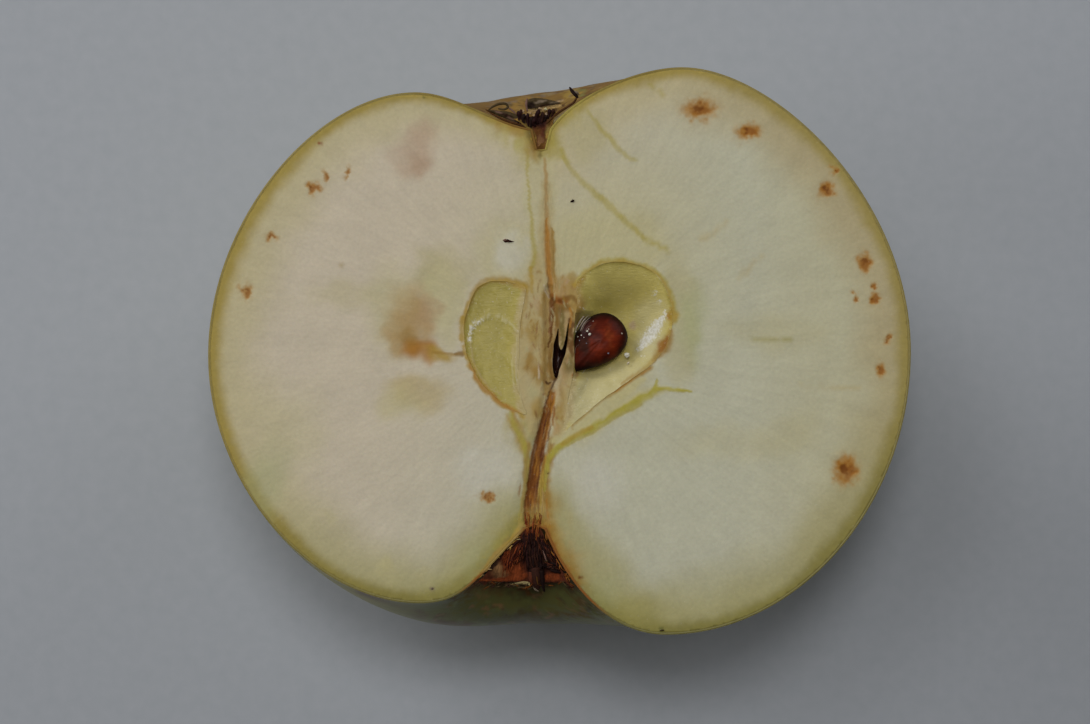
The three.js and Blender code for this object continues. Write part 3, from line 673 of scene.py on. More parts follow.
# %% Lines round the core: tint, strength, crispness, press, then rows of x, y and half-width
VESSELS = [
    ("pale parchment", 0.85, 0, 0, [(-0.2, -10.2, 0.5), (1.5, -8.9, 0.9), (3.5, -7.9, 1.0),
     (5.5, -6.6, 1.0), (7.5, -5.4, 1.0), (9.3, -4.5, 0.9), (11, -4.1, 0.5)]),
    ("pale parchment", 0.85, 0.1, 0, [(-0.6, -9.4, 0.6), (1.5, -8.1, 0.8), (3, -7.0, 0.8), (5, -5.7, 0.8),
     (7, -4.2, 0.8), (8.6, -3.1, 0.5)]),
    ("vessel green", 0.95, 0.0, 0.04, [(-1.6, -14.5, 0.25), (-1.5, -13.5, 0.38), (-1.3, -12, 0.46),
     (-0.9, -11, 0.5), (-0.3, -10.3, 0.54), (0.6, -9.6, 0.58), (1.5, -9.1, 0.58), (2.5, -8.6, 0.56),
     (3.5, -8.0, 0.56), (4.5, -7.4, 0.56), (5.5, -6.8, 0.58), (6.5, -6.2, 0.62), (7.5, -5.6, 0.68),
     (8.3, -5.15, 0.72), (9.3, -4.6, 0.58), (10.0, -4.15, 0.4), (11.2, -4.1, 0.28), (13.5, -4.25, 0.2)]),
    ("vessel gold", 0.7, 0.1, 0, [(0.2, -9.8, 0.3), (1.6, -8.9, 0.4), (3.2, -8.0, 0.3)]),
    ("vessel green", 0.8, 0.1, 0, [(3.8, -7.75, 0.12), (6.2, -6.2, 0.2), (8.0, -5.15, 0.32),
     (9.4, -4.45, 0.2)]),
    ("parchment", 0.6, 0.1, -0.02, [(0.9, -9.9, 0.12), (2.7, -8.95, 0.17), (4.7, -7.75, 0.17),
     (6.7, -6.55, 0.17), (8.4, -5.6, 0.12)]),
    ("vessel green", 0.8, 0.2, 0, [(9.3, -4.5, 0.2), (9.75, -3.9, 0.26), (9.9, -3.2, 0.15)]),
    ("parchment", 0.75, 0.1, 0.03, [(0.1, 20.5, 0.35), (0.5, 19.6, 0.4), (1.3, 18.5, 0.45),
     (2.3, 17.3, 0.5), (3.2, 16.5, 0.5), (4.1, 15.6, 0.5), (5.2, 14.6, 0.5), (6.3, 13.6, 0.5),
     (7.2, 12.7, 0.45), (9.0, 11.3, 0.4), (11.4, 10.1, 0.3)]),
    ("parchment", 0.7, 0.1, 0.02, [(2.9, 24.6, 0.2), (4.1, 23.0, 0.35), (5.4, 21.4, 0.4), (6.2, 20.5, 0.4),
     (7.0, 19.8, 0.35), (7.8, 19.4, 0.2)]),
    ("parchment", 0.75, 0.1, 0.02, [(-3.3, 20.5, 0.3), (-3.3, 18, 0.2), (-2.95, 14.5, 0.2),
     (-2.75, 12, 0.35), (-2.65, 9.6, 0.35), (-3.0, 8.2, 0.35)]),
    ("vessel gold", 0.75, 0.2, 0, [(-3.0, 8.5, 0.25), (-2.85, 7.2, 0.3), (-2.8, 5.8, 0.2)]),
    ("vessel green", 0.7, 0.1, 0, [(-5.0, -6.6, 0.3), (-4.5, -8.0, 0.45), (-3.8, -9.6, 0.45),
     (-3.4, -11.4, 0.4), (-3.5, -14.0, 0.35), (-4.0, -17.0, 0.3)]),
    ("olive", 0.6, 0, 0, [(19.6, 1.25, 0.3), (21.0, 0.95, 0.4), (22.4, 0.9, 0.35), (23.6, 0.95, 0.2)]),
    ("light tissue", 0.5, 0, 0, [(24.6, -3.7, 0.3), (28.0, -3.85, 0.35), (30.6, -3.95, 0.2)]),
    ("light tissue", 0.5, 0, 0, [(14.4, 11.2, 0.4), (15.9, 12.0, 0.45), (17.2, 13.2, 0.3)]),
    ("light tissue", 0.45, 0, 0, [(18.3, 7.0, 0.3), (19.6, 8.4, 0.4), (20.8, 9.6, 0.25)]),
    ("parchment", 0.6, 0, 0, [(9.2, 27.3, 0.3), (10.6, 26.2, 0.35)]),
    ("tissue", 0.9, 0, 0, [(1.3, -7.75, 0.3), (2.2, -6.95, 0.35), (3.0, -6.3, 0.35), (3.8, -5.7, 0.35),
     (5, -4.85, 0.35), (6.6, -3.7, 0.38), (8, -2.7, 0.42), (9.3, -1.85, 0.4)]),
    ("amber", 0.85, 0, 0, [(5.4, -4.5, 0.14), (6.4, -3.8, 0.2), (7.8, -2.8, 0.24), (9.2, -1.85, 0.2)]),
    ("ochre", 0.8, 0.1, 0, [(-12.9, -0.35, 0.25), (-11.2, -0.5, 0.22), (-9.9, -0.45, 0.25)]),
    ("umber", 0.85, 0.2, 0, [(-10.7, -0.45, 0.2), (-10.2, -0.45, 0.38), (-9.7, -0.4, 0.2)]),
]
RIM_LINES = [
    ("parchment", 0.85, 0, 0.02, [(1.7, 6.9, 0.3), (2.2, 7.5, 0.45), (3.2, 8.25, 0.5), (4.6, 8.95, 0.5),
     (6.2, 9.1, 0.5), (7.8, 8.85, 0.5), (9.4, 8.2, 0.5), (10.6, 7.1, 0.55), (11.3, 5.8, 0.55),
     (11.7, 4.3, 0.55), (11.8, 2.8, 0.45)]),
    ("vessel gold", 0.65, 0, 0, [(1.8, 6.9, 0.25), (3.1, 8.2, 0.22), (4.6, 8.9, 0.2), (6.2, 9.05, 0.2),
     (7.8, 8.8, 0.2), (9.4, 8.1, 0.22), (10.6, 7.0, 0.22), (11.3, 5.7, 0.22), (11.65, 4.3, 0.25)]),
    ("vessel gold", 0.85, 0.1, 0, [(1.6, 6.6, 0.4), (2.1, 6.95, 0.5), (2.6, 7.4, 0.3)]),
    ("vessel gold", 0.85, 0, 0, [(11.4, 4.2, 0.35), (11.65, 3.4, 0.65), (11.5, 2.6, 0.4)]),
    ("ochre", 0.95, 0, -0.02, [(11.35, 1.8, 0.45), (11.0, 0.8, 0.85), (10.5, -0.1, 0.9), (9.8, -0.9, 0.5)]),
    ("rust", 0.75, 0, 0, [(11.0, 1.2, 0.2), (10.7, 0.5, 0.35), (10.3, -0.1, 0.4)]),
    ("tissue", 0.8, 0, 0, [(9.8, -1.0, 0.4), (8.4, -2.2, 0.35), (6.4, -3.6, 0.3)]),
    ("tissue", 0.85, 0, 0.02, [(-9.95, 2.9, 0.36), (-9.45, 4.2, 0.4), (-9.0, 5.4, 0.42), (-8.4, 6.45, 0.5),
     (-7.3, 7.05, 0.55), (-5.9, 7.15, 0.5), (-4.4, 6.85, 0.5), (-3.4, 6.5, 0.5)]),
    ("vessel gold", 0.65, 0, 0, [(-9.85, 3.2, 0.2), (-9.1, 5.2, 0.22), (-8.3, 6.4, 0.25),
     (-7.2, 6.95, 0.22), (-5.8, 7.05, 0.22), (-4.3, 6.75, 0.25), (-3.6, 6.4, 0.3)]),
    ("vessel gold", 0.8, 0, 0, [(-4.6, 6.6, 0.4), (-3.7, 6.35, 0.6), (-3.3, 6.0, 0.4)]),
    ("vessel gold", 0.85, 0, 0, [(-9.95, 3.2, 0.3), (-10.05, 2.1, 0.5), (-9.9, 0.9, 0.4)]),
    ("vessel gold", 0.9, 0, -0.02, [(-9.8, 0.3, 0.3), (-9.45, -1.0, 0.42), (-8.9, -2.1, 0.5),
     (-8.2, -3.3, 0.52), (-7.3, -4.4, 0.52), (-6.2, -5.4, 0.52), (-5.0, -6.1, 0.5), (-3.7, -6.9, 0.4)]),
    ("amber", 0.7, 0, -0.02, [(-9.2, -1.6, 0.18), (-8.6, -2.8, 0.26), (-7.7, -3.95, 0.34),
     (-6.6, -5.05, 0.36), (-5.4, -5.85, 0.3), (-4.3, -6.5, 0.2)]),
    ("tissue", 0.7, 0, 0, [(-3.35, 6.0, 0.35), (-3.5, 4.9, 0.35), (-3.75, 3.4, 0.3), (-3.95, 1.2, 0.25)]),
]
print(len(VESSELS), "vessel lines and", len(RIM_LINES), "rim lines")

# %% Lines of the heart, from the calyx tube to the stalk
HEART = [
    ("tan", 0.9, 0, 0, [(-1.55, 19.6, 0.2), (-1.42, 18, 0.28), (-1.35, 16.5, 0.28), (-1.4, 15, 0.3),
     (-1.3, 13.5, 0.38), (-1.15, 12, 0.65), (-1.1, 10.5, 0.75), (-1.05, 9, 0.75), (-0.9, 7.8, 0.68),
     (-0.5, 6.7, 0.6), (-0.15, 5.9, 0.65), (0.1, 5.2, 0.6)]),
    ("amber", 0.85, 0, -0.03, [(-1.35, 13.4, 0.12), (-1.25, 11.8, 0.36), (-1.2, 10.5, 0.46),
     (-1.15, 9.2, 0.46), (-1.05, 7.8, 0.44), (-0.9, 6.6, 0.42), (-0.65, 5.4, 0.4)]),
    ("ochre", 0.8, 0, 0, [(-0.75, 12.4, 0.2), (-0.7, 11, 0.3), (-0.65, 9.4, 0.3), (-0.6, 8, 0.25),
     (-0.35, 6.8, 0.22)]),
    ("warm cream", 0.6, 0.1, 0.03, [(-1.5, 6.6, 0.12), (-1.35, 6.0, 0.14), (-1.05, 5.3, 0.1)]),
    ("bark", 0.5, 0, -0.03, [(-1.2, 8.0, 0.08), (-1.15, 6.6, 0.14), (-0.9, 5.4, 0.16)]),
    ("rust", 0.95, 0, -0.03, [(-0.7, 5.4, 0.5), (-0.1, 5.0, 0.62), (0.6, 5.1, 0.55)]),
    ("burnt", 0.85, 0, -0.03, [(-0.1, 5.0, 0.22), (0.2, 4.9, 0.32), (0.5, 4.8, 0.24)]),
    ("umber", 0.75, 0, 0, [(0.5, 5.2, 0.45), (1.2, 5.35, 0.42), (1.9, 4.8, 0.4), (2.4, 4.2, 0.3)]),
    ("bark", 0.95, 0.1, -0.04, [(-0.75, 5.3, 0.2), (-0.5, 5.0, 0.24), (-0.62, 4.4, 0.2), (-0.7, 3.3, 0.17),
     (-0.8, 2.0, 0.16), (-0.95, 1.0, 0.14), (-1.2, 0.25, 0.12)]),
    ("burnt", 0.85, 0, 0, [(-0.85, 5.0, 0.3), (-0.8, 4.2, 0.36), (-0.85, 3.0, 0.3), (-0.95, 1.8, 0.24)]),
    ("umber", 0.85, 0.1, 0, [(-0.35, 4.6, 0.25), (-0.3, 3.4, 0.3), (-0.25, 2.4, 0.25)]),
    ("amber", 0.85, 0.1, 0, [(1.1, 4.2, 0.2), (1.15, 3.2, 0.2), (1.1, 2.2, 0.14)]),
    ("bark", 0.95, 0.1, -0.03, [(0.95, 3.1, 0.12), (0.93, 2.0, 0.15), (0.86, 0.9, 0.14), (0.7, -0.3, 0.1)]),
    ("umber", 0.9, 0.1, 0, [(-0.85, 0.6, 0.12), (-0.88, -0.8, 0.16), (-0.9, -2.2, 0.16), (-0.7, -3.2, 0.2)]),
    ("warm cream", 0.7, 0.1, 0.04, [(-2.2, -1.6, 0.08), (-2.15, -2.3, 0.13), (-2.1, -3.0, 0.08)]),
    ("dark bark", 0.85, 0.1, -0.08, [(-0.4, -2.9, 0.2), (-0.65, -3.6, 0.16), (-1.0, -4.4, 0.18),
     (-1.2, -5.1, 0.16)]),
    ("dark bark", 0.9, 0.1, -0.03, [(-1.45, -3.3, 0.12), (-1.2, -3.6, 0.2), (-0.9, -3.4, 0.12)]),
    ("rust", 1.0, 0.15, -0.08, [(-0.75, -4.6, 0.3), (-1.0, -5.6, 0.45), (-1.3, -7.0, 0.6),
     (-1.65, -8.5, 0.68), (-2.0, -10.0, 0.66), (-2.3, -11.5, 0.66), (-2.6, -13.0, 0.7),
     (-2.85, -14.5, 0.75), (-3.0, -16.0, 0.8), (-2.95, -17.5, 1.05), (-2.8, -19.0, 1.5)]),
    ("burnt", 0.95, 0.1, -0.05, [(-1.5, -6.4, 0.2), (-1.9, -8.3, 0.35), (-2.15, -10.0, 0.48),
     (-2.35, -11.6, 0.55), (-2.65, -13.0, 0.5), (-2.95, -14.4, 0.42), (-3.1, -16.0, 0.3)]),
    ("vessel gold", 0.95, 0.1, 0, [(-1.5, -11.0, 0.2), (-1.7, -12.5, 0.3), (-1.9, -14.0, 0.42),
     (-2.0, -15.5, 0.55), (-2.0, -17.0, 0.75), (-1.9, -18.3, 0.9)]),
    ("tissue", 0.8, 0, 0, [(-3.1, -9.6, 0.2), (-3.35, -11.5, 0.28), (-3.55, -13.5, 0.28),
     (-3.75, -15.5, 0.26), (-4.0, -17.4, 0.25), (-4.4, -19.0, 0.3)]),
    ("burnt", 0.85, 0, -0.05, [(-1.25, -5.2, 0.14), (-1.5, -6.1, 0.18), (-1.75, -7.1, 0.2),
     (-2.1, -8.2, 0.2), (-2.4, -9.2, 0.2), (-2.65, -10.2, 0.2), (-2.8, -11.2, 0.2), (-3.0, -12.3, 0.2),
     (-3.18, -13.4, 0.2), (-3.3, -14.6, 0.2), (-3.45, -15.8, 0.18), (-3.6, -17.2, 0.2),
     (-3.7, -18.4, 0.26)]),
    ("burnt", 0.9, 0.1, -0.04, [(-1.55, -9.0, 0.1), (-1.85, -10.6, 0.14), (-2.05, -12.2, 0.16),
     (-2.2, -13.6, 0.15), (-2.4, -15.0, 0.14), (-2.55, -16.6, 0.16), (-2.6, -18.2, 0.3)]),
    ("tan", 0.7, 0.1, 0.04, [(-1.75, -14.3, 0.08), (-1.75, -15.6, 0.13), (-1.8, -17.2, 0.12)]),
    ("bruise", 0.8, 0.1, 0.05, [(-1.12, -6.15, 0.08), (-1.13, -6.6, 0.13), (-1.25, -7.1, 0.08)]),
    ("tan", 0.7, 0.1, 0.03, [(-1.35, -7.2, 0.08), (-1.55, -8.4, 0.12), (-1.8, -9.8, 0.08)]),
    ("rust", 0.85, 0.1, 0, [(-0.7, -5.0, 0.16), (-0.55, -6.5, 0.18), (-0.75, -7.8, 0.14)]),
    ("amber", 0.85, 0.1, 0, [(-1.3, -15.4, 0.12), (-1.25, -16.8, 0.16), (-1.0, -18.2, 0.2)]),
    ("rust", 0.85, 0.1, -0.03, [(-3.0, -15.0, 0.1), (-3.1, -16.6, 0.13), (-3.15, -18.2, 0.18)]),
    ("dark cork", 0.95, 0.15, -0.05, [(-2.7, -18.0, 0.25), (-2.7, -18.8, 0.7), (-2.7, -19.5, 1.2)]),
    ("amber", 0.85, 0, 0, [(-1.45, -17.6, 0.3), (-1.1, -19.0, 0.4), (-0.75, -20.3, 0.5),
     (-0.2, -21.6, 0.55), (0.5, -22.8, 0.6), (1.3, -24.0, 0.6), (2.0, -25.0, 0.4)]),
    ("rust", 0.6, 0, -0.02, [(-1.5, -18.6, 0.16), (-1.15, -20.0, 0.2), (-0.6, -21.4, 0.22),
     (0.2, -22.6, 0.22), (1.0, -23.8, 0.22)]),
    ("vessel gold", 0.85, 0.1, 0, [(-4.2, -18.4, 0.25), (-4.8, -19.3, 0.3), (-5.9, -20.4, 0.3),
     (-6.9, -21.4, 0.28), (-7.7, -22.6, 0.28), (-8.7, -23.6, 0.28)]),
]
print(len(HEART), "lines of the heart")

# %% Corky spots and other small marks
SPOTS = [
    (14.4, 24.8, 1.65, 1.1), (19.4, 22.4, 1.2, 0.9), (27.5, 16.3, 0.8, 0.85), (28.3, 18.4, 0.5, 0.45),
    (31.4, 8.9, 0.72, 1.05), (32.3, 5.2, 0.6, 0.7), (32.1, 6.5, 0.35, 0.35), (30.3, 5.4, 0.38, 0.48),
    (33.0, -2.0, 0.5, 0.75), (33.6, 1.1, 0.35, 0.4), (29.3, -12.4, 1.2, 1.45), (-25.2, 16.6, 0.7, 0.6),
    (-23.9, 17.8, 0.35, 0.5), (-21.8, 18.2, 0.35, 0.5), (-29.7, 11.7, 0.6, 0.5), (-32.2, 5.9, 0.58, 0.8),
    (-7.6, -15.0, 0.5, 0.4), (-7.15, -15.35, 0.38, 0.32),
]
CORK = [mark for x, y, half_x, half_y in SPOTS for mark in (
    ("tan", 0.7, 0, 0, (x, y, half_x * 1.8, half_y * 1.8, 0)),
    ("amber", 0.95, 0.15, -0.04, (x, y, half_x * 1.35, half_y * 1.35, 0)),
    ("rust", 0.9, 0.1, -0.03, (x + 0.1, y - 0.05, half_x * 0.8, half_y * 0.8, 0)),
    ("burnt", 0.8, 0.1, -0.02, (x - 0.12, y + 0.1, half_x * 0.4, half_y * 0.4, 0)))]
FLECKS = [
    ("red cork", 0.9, 0.3, 0, (-24.6, 21.2, 0.2, 0.16, 0)),
    ("dusk", 0.8, 0.3, 0, (22.5, 22.1, 0.16, 0.14, 0)),
    ("burnt", 0.9, 0.3, -0.03, (2.1, -23.4, 0.32, 0.22, -20)),
    ("moss", 0.9, 0.3, 0, (10.4, -28.6, 0.3, 0.22, 0)), ("moss", 0.7, 0.2, 0, (-13.9, 26.0, 0.3, 0.2, 0)),
    ("sage", 0.8, 0.3, -0.04, (20.9, 6.1, 0.24, 0.22, 0)),
    ("dark bark", 0.8, 0.2, -0.03, (-1.15, -12.8, 0.16, 0.16, 0)),
    ("grey sepal", 0.8, 0.3, 0, (-13.0, -24.5, 0.35, 0.3, 0)),
    ("rust", 0.8, 0, 0, (1.45, -2.75, 0.3, 0.4, 0)),
    ("olive russet", 0.9, 0, 0, (-2.9, 22.2, 0.85, 1.5, 18)),
    ("umber", 0.8, 0, 0, (-2.65, 21.0, 0.5, 1.0, 0)), ("ochre", 0.8, 0, 0, (-1.2, 21.8, 0.4, 1.4, -8)),
    ("olive russet", 0.8, 0, 0, (-2.0, 20.1, 0.35, 0.6, 0)),
    ("bark", 0.8, 0.1, 0, (-4.6, -19.75, 0.3, 0.16, -40)),
    ("bark", 0.7, 0.1, 0, (-5.6, -20.6, 0.3, 0.14, -45)), ("rust", 0.7, 0, 0, (-7.9, -23.3, 0.5, 0.3, -50)),
    ("bark", 0.7, 0, 0, (-0.5, -21.0, 0.2, 0.5, 20)), ("tissue", 0.5, 0.1, 0, (-22.6, 8.6, 0.5, 0.2, 30)),
]
print(len(SPOTS), "corky spots and", len(FLECKS), "small marks")

# %% [markdown]
# ## Marks in the chambers
# The parchment that lines a seed chamber is olive. It is paler where it is thin over the flesh, and
# it carries the arc that the missing pip pressed into it, with a few pale fibres beside the split. Light is
# painted in as well: the deep right chamber is painted lighter than the left, its lit right wall and a streak
# on it are painted pale, small painted gleams of juice sit in both chambers, and the wall above the pip and
# the split are painted darker as painted shade.

# %% Chamber marks
CHAMBER_MARKS = [
    ("parchment", 1.0, 1.0, 0, (-6.5, 0.5, 6.0, 9.0, 0)),
    ("parchment", 0.7, 0, 0, (-6.5, 5.4, 3.0, 2.2, 0)),
    ("parchment", 0.7, 0.1, 0, (-6.6, -1.0, 2.4, 4.2, 0)),
    ("parchment", 0.6, 0.1, 0, (-4.6, 2.5, 0.9, 4.5, 0)),
    ("parchment", 0.5, 0, 0, (-5.0, -4.2, 1.8, 1.8, 0)), ("parchment", 0.5, 0, 0, (-8.6, 3.8, 1.2, 2.0, 0)),
    ("pale parchment", 0.75, 0.1, 0.1, [(-9.1, 0.6, 0.14), (-9.1, 1.8, 0.2), (-8.7, 2.5, 0.22),
     (-8, 2.95, 0.2), (-7, 3.5, 0.18), (-6.2, 3.4, 0.16), (-5, 2.6, 0.15), (-4.3, 1.7, 0.12)]),
    # the seed print carries two painted gleams, glints of juice painted into its colour
    ("light tissue", 0.6, 0.1, 0.05, [(-9.1, 0.6, 0.14), (-8.9, -1.0, 0.16), (-8.2, -2.6, 0.16),
     (-7.2, -3.8, 0.14), (-6.0, -4.7, 0.12)]), ("wet gleam", 0.9, 0.2, 0.06, (-9.05, 2.2, 0.22, 0.3, 20)),
    ("wet gleam", 0.9, 0.2, 0.06, (-8.35, 2.65, 0.22, 0.16, 30)),
    ("warm cream", 0.7, 0.1, 0.05, (-9.35, 1.0, 0.16, 0.4, 0)),
    ("cool cream", 0.7, 0.1, 0, (-8.75, 2.9, 0.4, 0.14, 40)),
    ("straw", 0.7, 0.1, 0.05, [(-4.35, 1.2, 0.1), (-4.45, -1.0, 0.14), (-4.35, -3.0, 0.14),
     (-4.05, -5.2, 0.1)]),
    ("pale parchment", 0.6, 0.1, 0.03, [(-4.75, 0.0, 0.1), (-4.8, -2.0, 0.13), (-4.6, -4.0, 0.1)]),
    # painted light: the right chamber is painted a lighter parchment than the left, to offset the shade in
    # its deep bowl
    ("painted-light parchment", 1.0, 1.0, 0, (5.6, 1.0, 9.0, 12.0, 0)),
    ("painted-light parchment", 0.95, 0, 0, (5.2, 7.4, 6.0, 4.2, 0)),
    # painted shade: the wall above the pip, which lies in shade, keeps the darker olive
    ("parchment", 0.8, 0, 0, (4.4, 4.6, 2.6, 1.4, -15)),
    # painted light: the lit right wall is painted paler
    ("pale parchment", 0.7, 0.2, 0, (9.5, 3.6, 2.6, 2.6, 0)),
    ("straw", 0.8, 0.2, 0, (9.3, 0.6, 2.6, 2.4, 30)),
    ("pale parchment", 0.9, 0.3, 0, (6.0, -3.0, 5.0, 2.2, 30)),
    ("pale parchment", 0.95, 0.4, 0, (2.6, -5.2, 2.2, 4.0, -20)),
    ("parchment", 0.6, 0.1, 0, (2.3, 6.0, 1.1, 1.9, 0)), ("tissue", 0.75, 0.2, 0, (2.0, 4.5, 0.8, 1.0, 0)),
    ("umber", 0.7, 0.1, 0, (1.8, 3.2, 0.5, 1.0, 0)),
    # painted highlight: a pale raised streak along the lit right wall
    ("pale flesh", 0.75, 0.1, 0.03, [(10.6, 3.4, 0.25), (9.9, 2.3, 0.6), (9.1, 1.2, 0.6), (8.4, 0.3, 0.3)]),
    ("bruise", 0.7, 0.2, 0, (7.6, 2.7, 0.55, 0.65, 0)), ("amber", 0.9, 0.2, 0, (11.35, 3.4, 0.6, 0.6, 0)),
    ("rust", 0.95, 0.2, 0, (10.6, 0.3, 0.8, 1.0, 30)),
    # painted gleams: small near-white glints of juice painted into the lining's colour
    ("wet gleam", 0.9, 0.2, 0.04, (9.65, 6.1, 0.16, 0.28, 10)),
    ("wet gleam", 0.85, 0.2, 0.03, (9.75, 5.6, 0.14, 0.16, 0)),
    ("wet gleam", 0.9, 0.2, 0.04, (10.4, 5.0, 0.16, 0.18, 0)),
    ("wet gleam", 0.85, 0.2, 0.03, (10.05, 4.65, 0.14, 0.16, 0)),
    ("wet gleam", 0.9, 0.2, 0.04, (2.65, -2.15, 0.2, 0.14, 20)),
    # painted shade: after the rust smear, cocoa and bark paint the deep split dark
    ("rust", 0.9, 0, 0, (1.65, -2.5, 0.45, 0.5, 0)), ("cocoa", 1.0, 1.0, 0, (0.1, -0.3, 0.95, 3.3, 0)),
    ("bark", 0.9, 0.3, 0, (-0.15, 1.4, 0.3, 1.2, 0)),
]
PAINTED_SHEEN_PLACES = [  # where juice shines, drawn as painted sheen: white is full sheen
    ("full", 1.0, 0.1, 0, [(10.9, 3.9, 0.3), (10.3, 2.9, 0.75), (9.5, 1.8, 0.95), (8.8, 0.8, 0.8),
     (8.1, 0.1, 0.35)]), ("full", 0.7, 0.1, 0, (9.9, 5.9, 0.35, 0.5, 0)),
    ("full", 0.6, 0, 0, (10.2, 4.9, 0.45, 0.45, 0)),
    ("full", 0.75, 0.1, 0, [(-9.2, 0.8, 0.25), (-9.1, 1.9, 0.35), (-8.6, 2.6, 0.35), (-7.9, 3.1, 0.25)]),
    ("full", 0.6, 0, 0, (2.3, 4.2, 0.5, 0.35, 0)), ("full", 0.6, 0, 0, (5.4, -2.0, 0.5, 0.3, 20)),
    ("full", 0.5, 0, 0, (8.6, -0.6, 0.6, 0.4, 30)),
]
FIBROUS_PLACES = [  # where the tissue is stringy
    ("full", 1.0, 0.3, 0, [(-0.9, -4.6, 0.8), (-1.5, -8.0, 1.2), (-2.2, -12.0, 1.6), (-2.5, -16.0, 1.8),
     (-2.5, -19.0, 2.4)]),
    ("full", 0.6, 0.1, 0, [(-1.2, 17.0, 0.5), (-1.1, 11.0, 1.1), (-0.7, 5.0, 1.4), (-1.2, 0.0, 1.8),
     (-0.8, -4.0, 1.5)]),
]
print(len(CHAMBER_MARKS), "marks in the chambers")


# %% [markdown]
# ## The flesh
# The knife left a flat face with a little life in it: it dips along the core line and at the corky spots.
# Such a face is best made as a dense triangle net whose points crowd where there is detail, with the rims of
# the hollows as fixed lines in it. Blender's constrained Delaunay routine makes that net from points and
# loops. The bowls below the rims and the round back are plain grids of quads that share the net's edges.

# %% The round back of the flesh
SKIN_THICK = 0.26
FLESH_INSET = 0.18


def fruit_grid(angles, steps, depth, bumps=0.0):
    """A grid of points `depth` mm under the skin, with a pole at the tube's end and at the pit's floor."""
    profile = fruit_profile(angles, steps)
    grid = on_fruit(profile[..., 0], profile[..., 1], np.asarray(angles)[:, None])
    out = np.cross(np.gradient(grid, axis=1), np.gradient(grid, axis=0))
    out[0, :, 2] = out[-1, :, 2] = 0
    out /= np.linalg.norm(out, axis=2, keepdims=True)
    if bumps:
        flat = np.stack([profile[..., 1].ravel(), np.repeat(0.6 * np.asarray(angles), profile.shape[1])], 1)
        rise = mottle(flat, 7, 21, 2).reshape(profile.shape[:2])
        fade = np.sin(np.radians(angles))[:, None] * smoothstep(profile[..., 0], 3, 12)
        grid += out * (bumps * rise * fade)[..., None]
    grid -= out * depth
    grid[..., 2] = np.maximum(grid[..., 2], depth)
    poles = [on_fruit(0.0, TUBE_END - depth, 0.0), on_fruit(0.0, PIT_FLOOR + depth, 0.0)]
    return grid, poles, profile


def grid_faces(columns, rows, first=0):
    """Quads over a grid of columns, facing out, and a fan at each of the two poles that follow the grid."""
    i, j = np.meshgrid(np.arange(columns - 1), np.arange(rows - 1), indexing="ij")
    at = lambda a, b: (first + a * rows + b).ravel()
    quads = np.stack([at(i, j), at(i, j + 1), at(i + 1, j + 1), at(i + 1, j)], 1).tolist()
    top, end = first + columns * rows, first + columns * rows + 1
    fans = [[top, first + a * rows, first + (a + 1) * rows] for a in range(columns - 1)]
    fans += [[end, first + (a + 2) * rows - 1, first + (a + 1) * rows - 1] for a in range(columns - 1)]
    return quads + fans


def edge_loop(columns, rows, first=0):
    """Indices round the cut plane: down the left side and up the right, which turns left seen from above."""
    right = [first + j for j in range(rows)]
    left = [first + (columns - 1) * rows + j for j in range(rows)]
    return [first + columns * rows] + left + [first + columns * rows + 1] + right[::-1]


back, poles, _ = fruit_grid(np.linspace(0, 180, 49), (18, 30, 32, 18), FLESH_INSET)
columns, rows = back.shape[:2]
points = [*back.reshape(-1, 3), *poles]
faces = grid_faces(columns, rows)
outline_ids = edge_loop(columns, rows)
flesh_outline = np.array([points[k][:2] for k in outline_ids])
print("the flesh's back has", len(faces), "faces, its outline", len(outline_ids), "points")

# %% [markdown]
# The net's points sit on a triangular lattice in three sizes: 0.13 mm where lines are thin, 0.26 mm in the
# core and under the skin, 0.52 mm in plain flesh. Each coarser lattice is every other point of the finer one.

# %% The net of the cut face
FINEST = 0.13
x_count, y_count = int(76 / FINEST), int(62 / (FINEST * 0.866))
gx, gy = np.meshgrid(np.arange(x_count), np.arange(y_count), indexing="ij")
lattice = np.stack([-38 + (gx + 0.5 * (gy % 2)) * FINEST, -31 + gy * FINEST * 0.866], -1).reshape(-1, 2)
coarse = ((gy % 4 == 0) & ((gx + gy // 2) % 4 == 0)).ravel()
middling = ((gy % 2 == 0) & ((gx + gy // 2) % 2 == 0)).ravel()


def near_any(xy, places):
    """True near any of the ovals x, y, half_x, half_y."""
    return np.any([np.hypot((xy[:, 0] - x) / a, (xy[:, 1] - y) / b) < 1 for x, y, a, b in places], axis=0)


def near_lines(xy, marks, reach):
    """True within `reach` mm of any line among the marks."""
    result = np.zeros(len(xy), dtype=bool)
    for mark in marks:
        line = through(mark[4], 3)
        box = ((xy > line[:, :2].min(0) - reach) & (xy < line[:, :2].max(0) + reach)).all(1)
        near = np.flatnonzero(box)
        gaps = in_chunks(xy[near], lambda p: np.linalg.norm(p[:, None] - line[None, :, :2], axis=2).min(1))
        result[near] |= gaps < reach + line[:, 2].max()
    return result


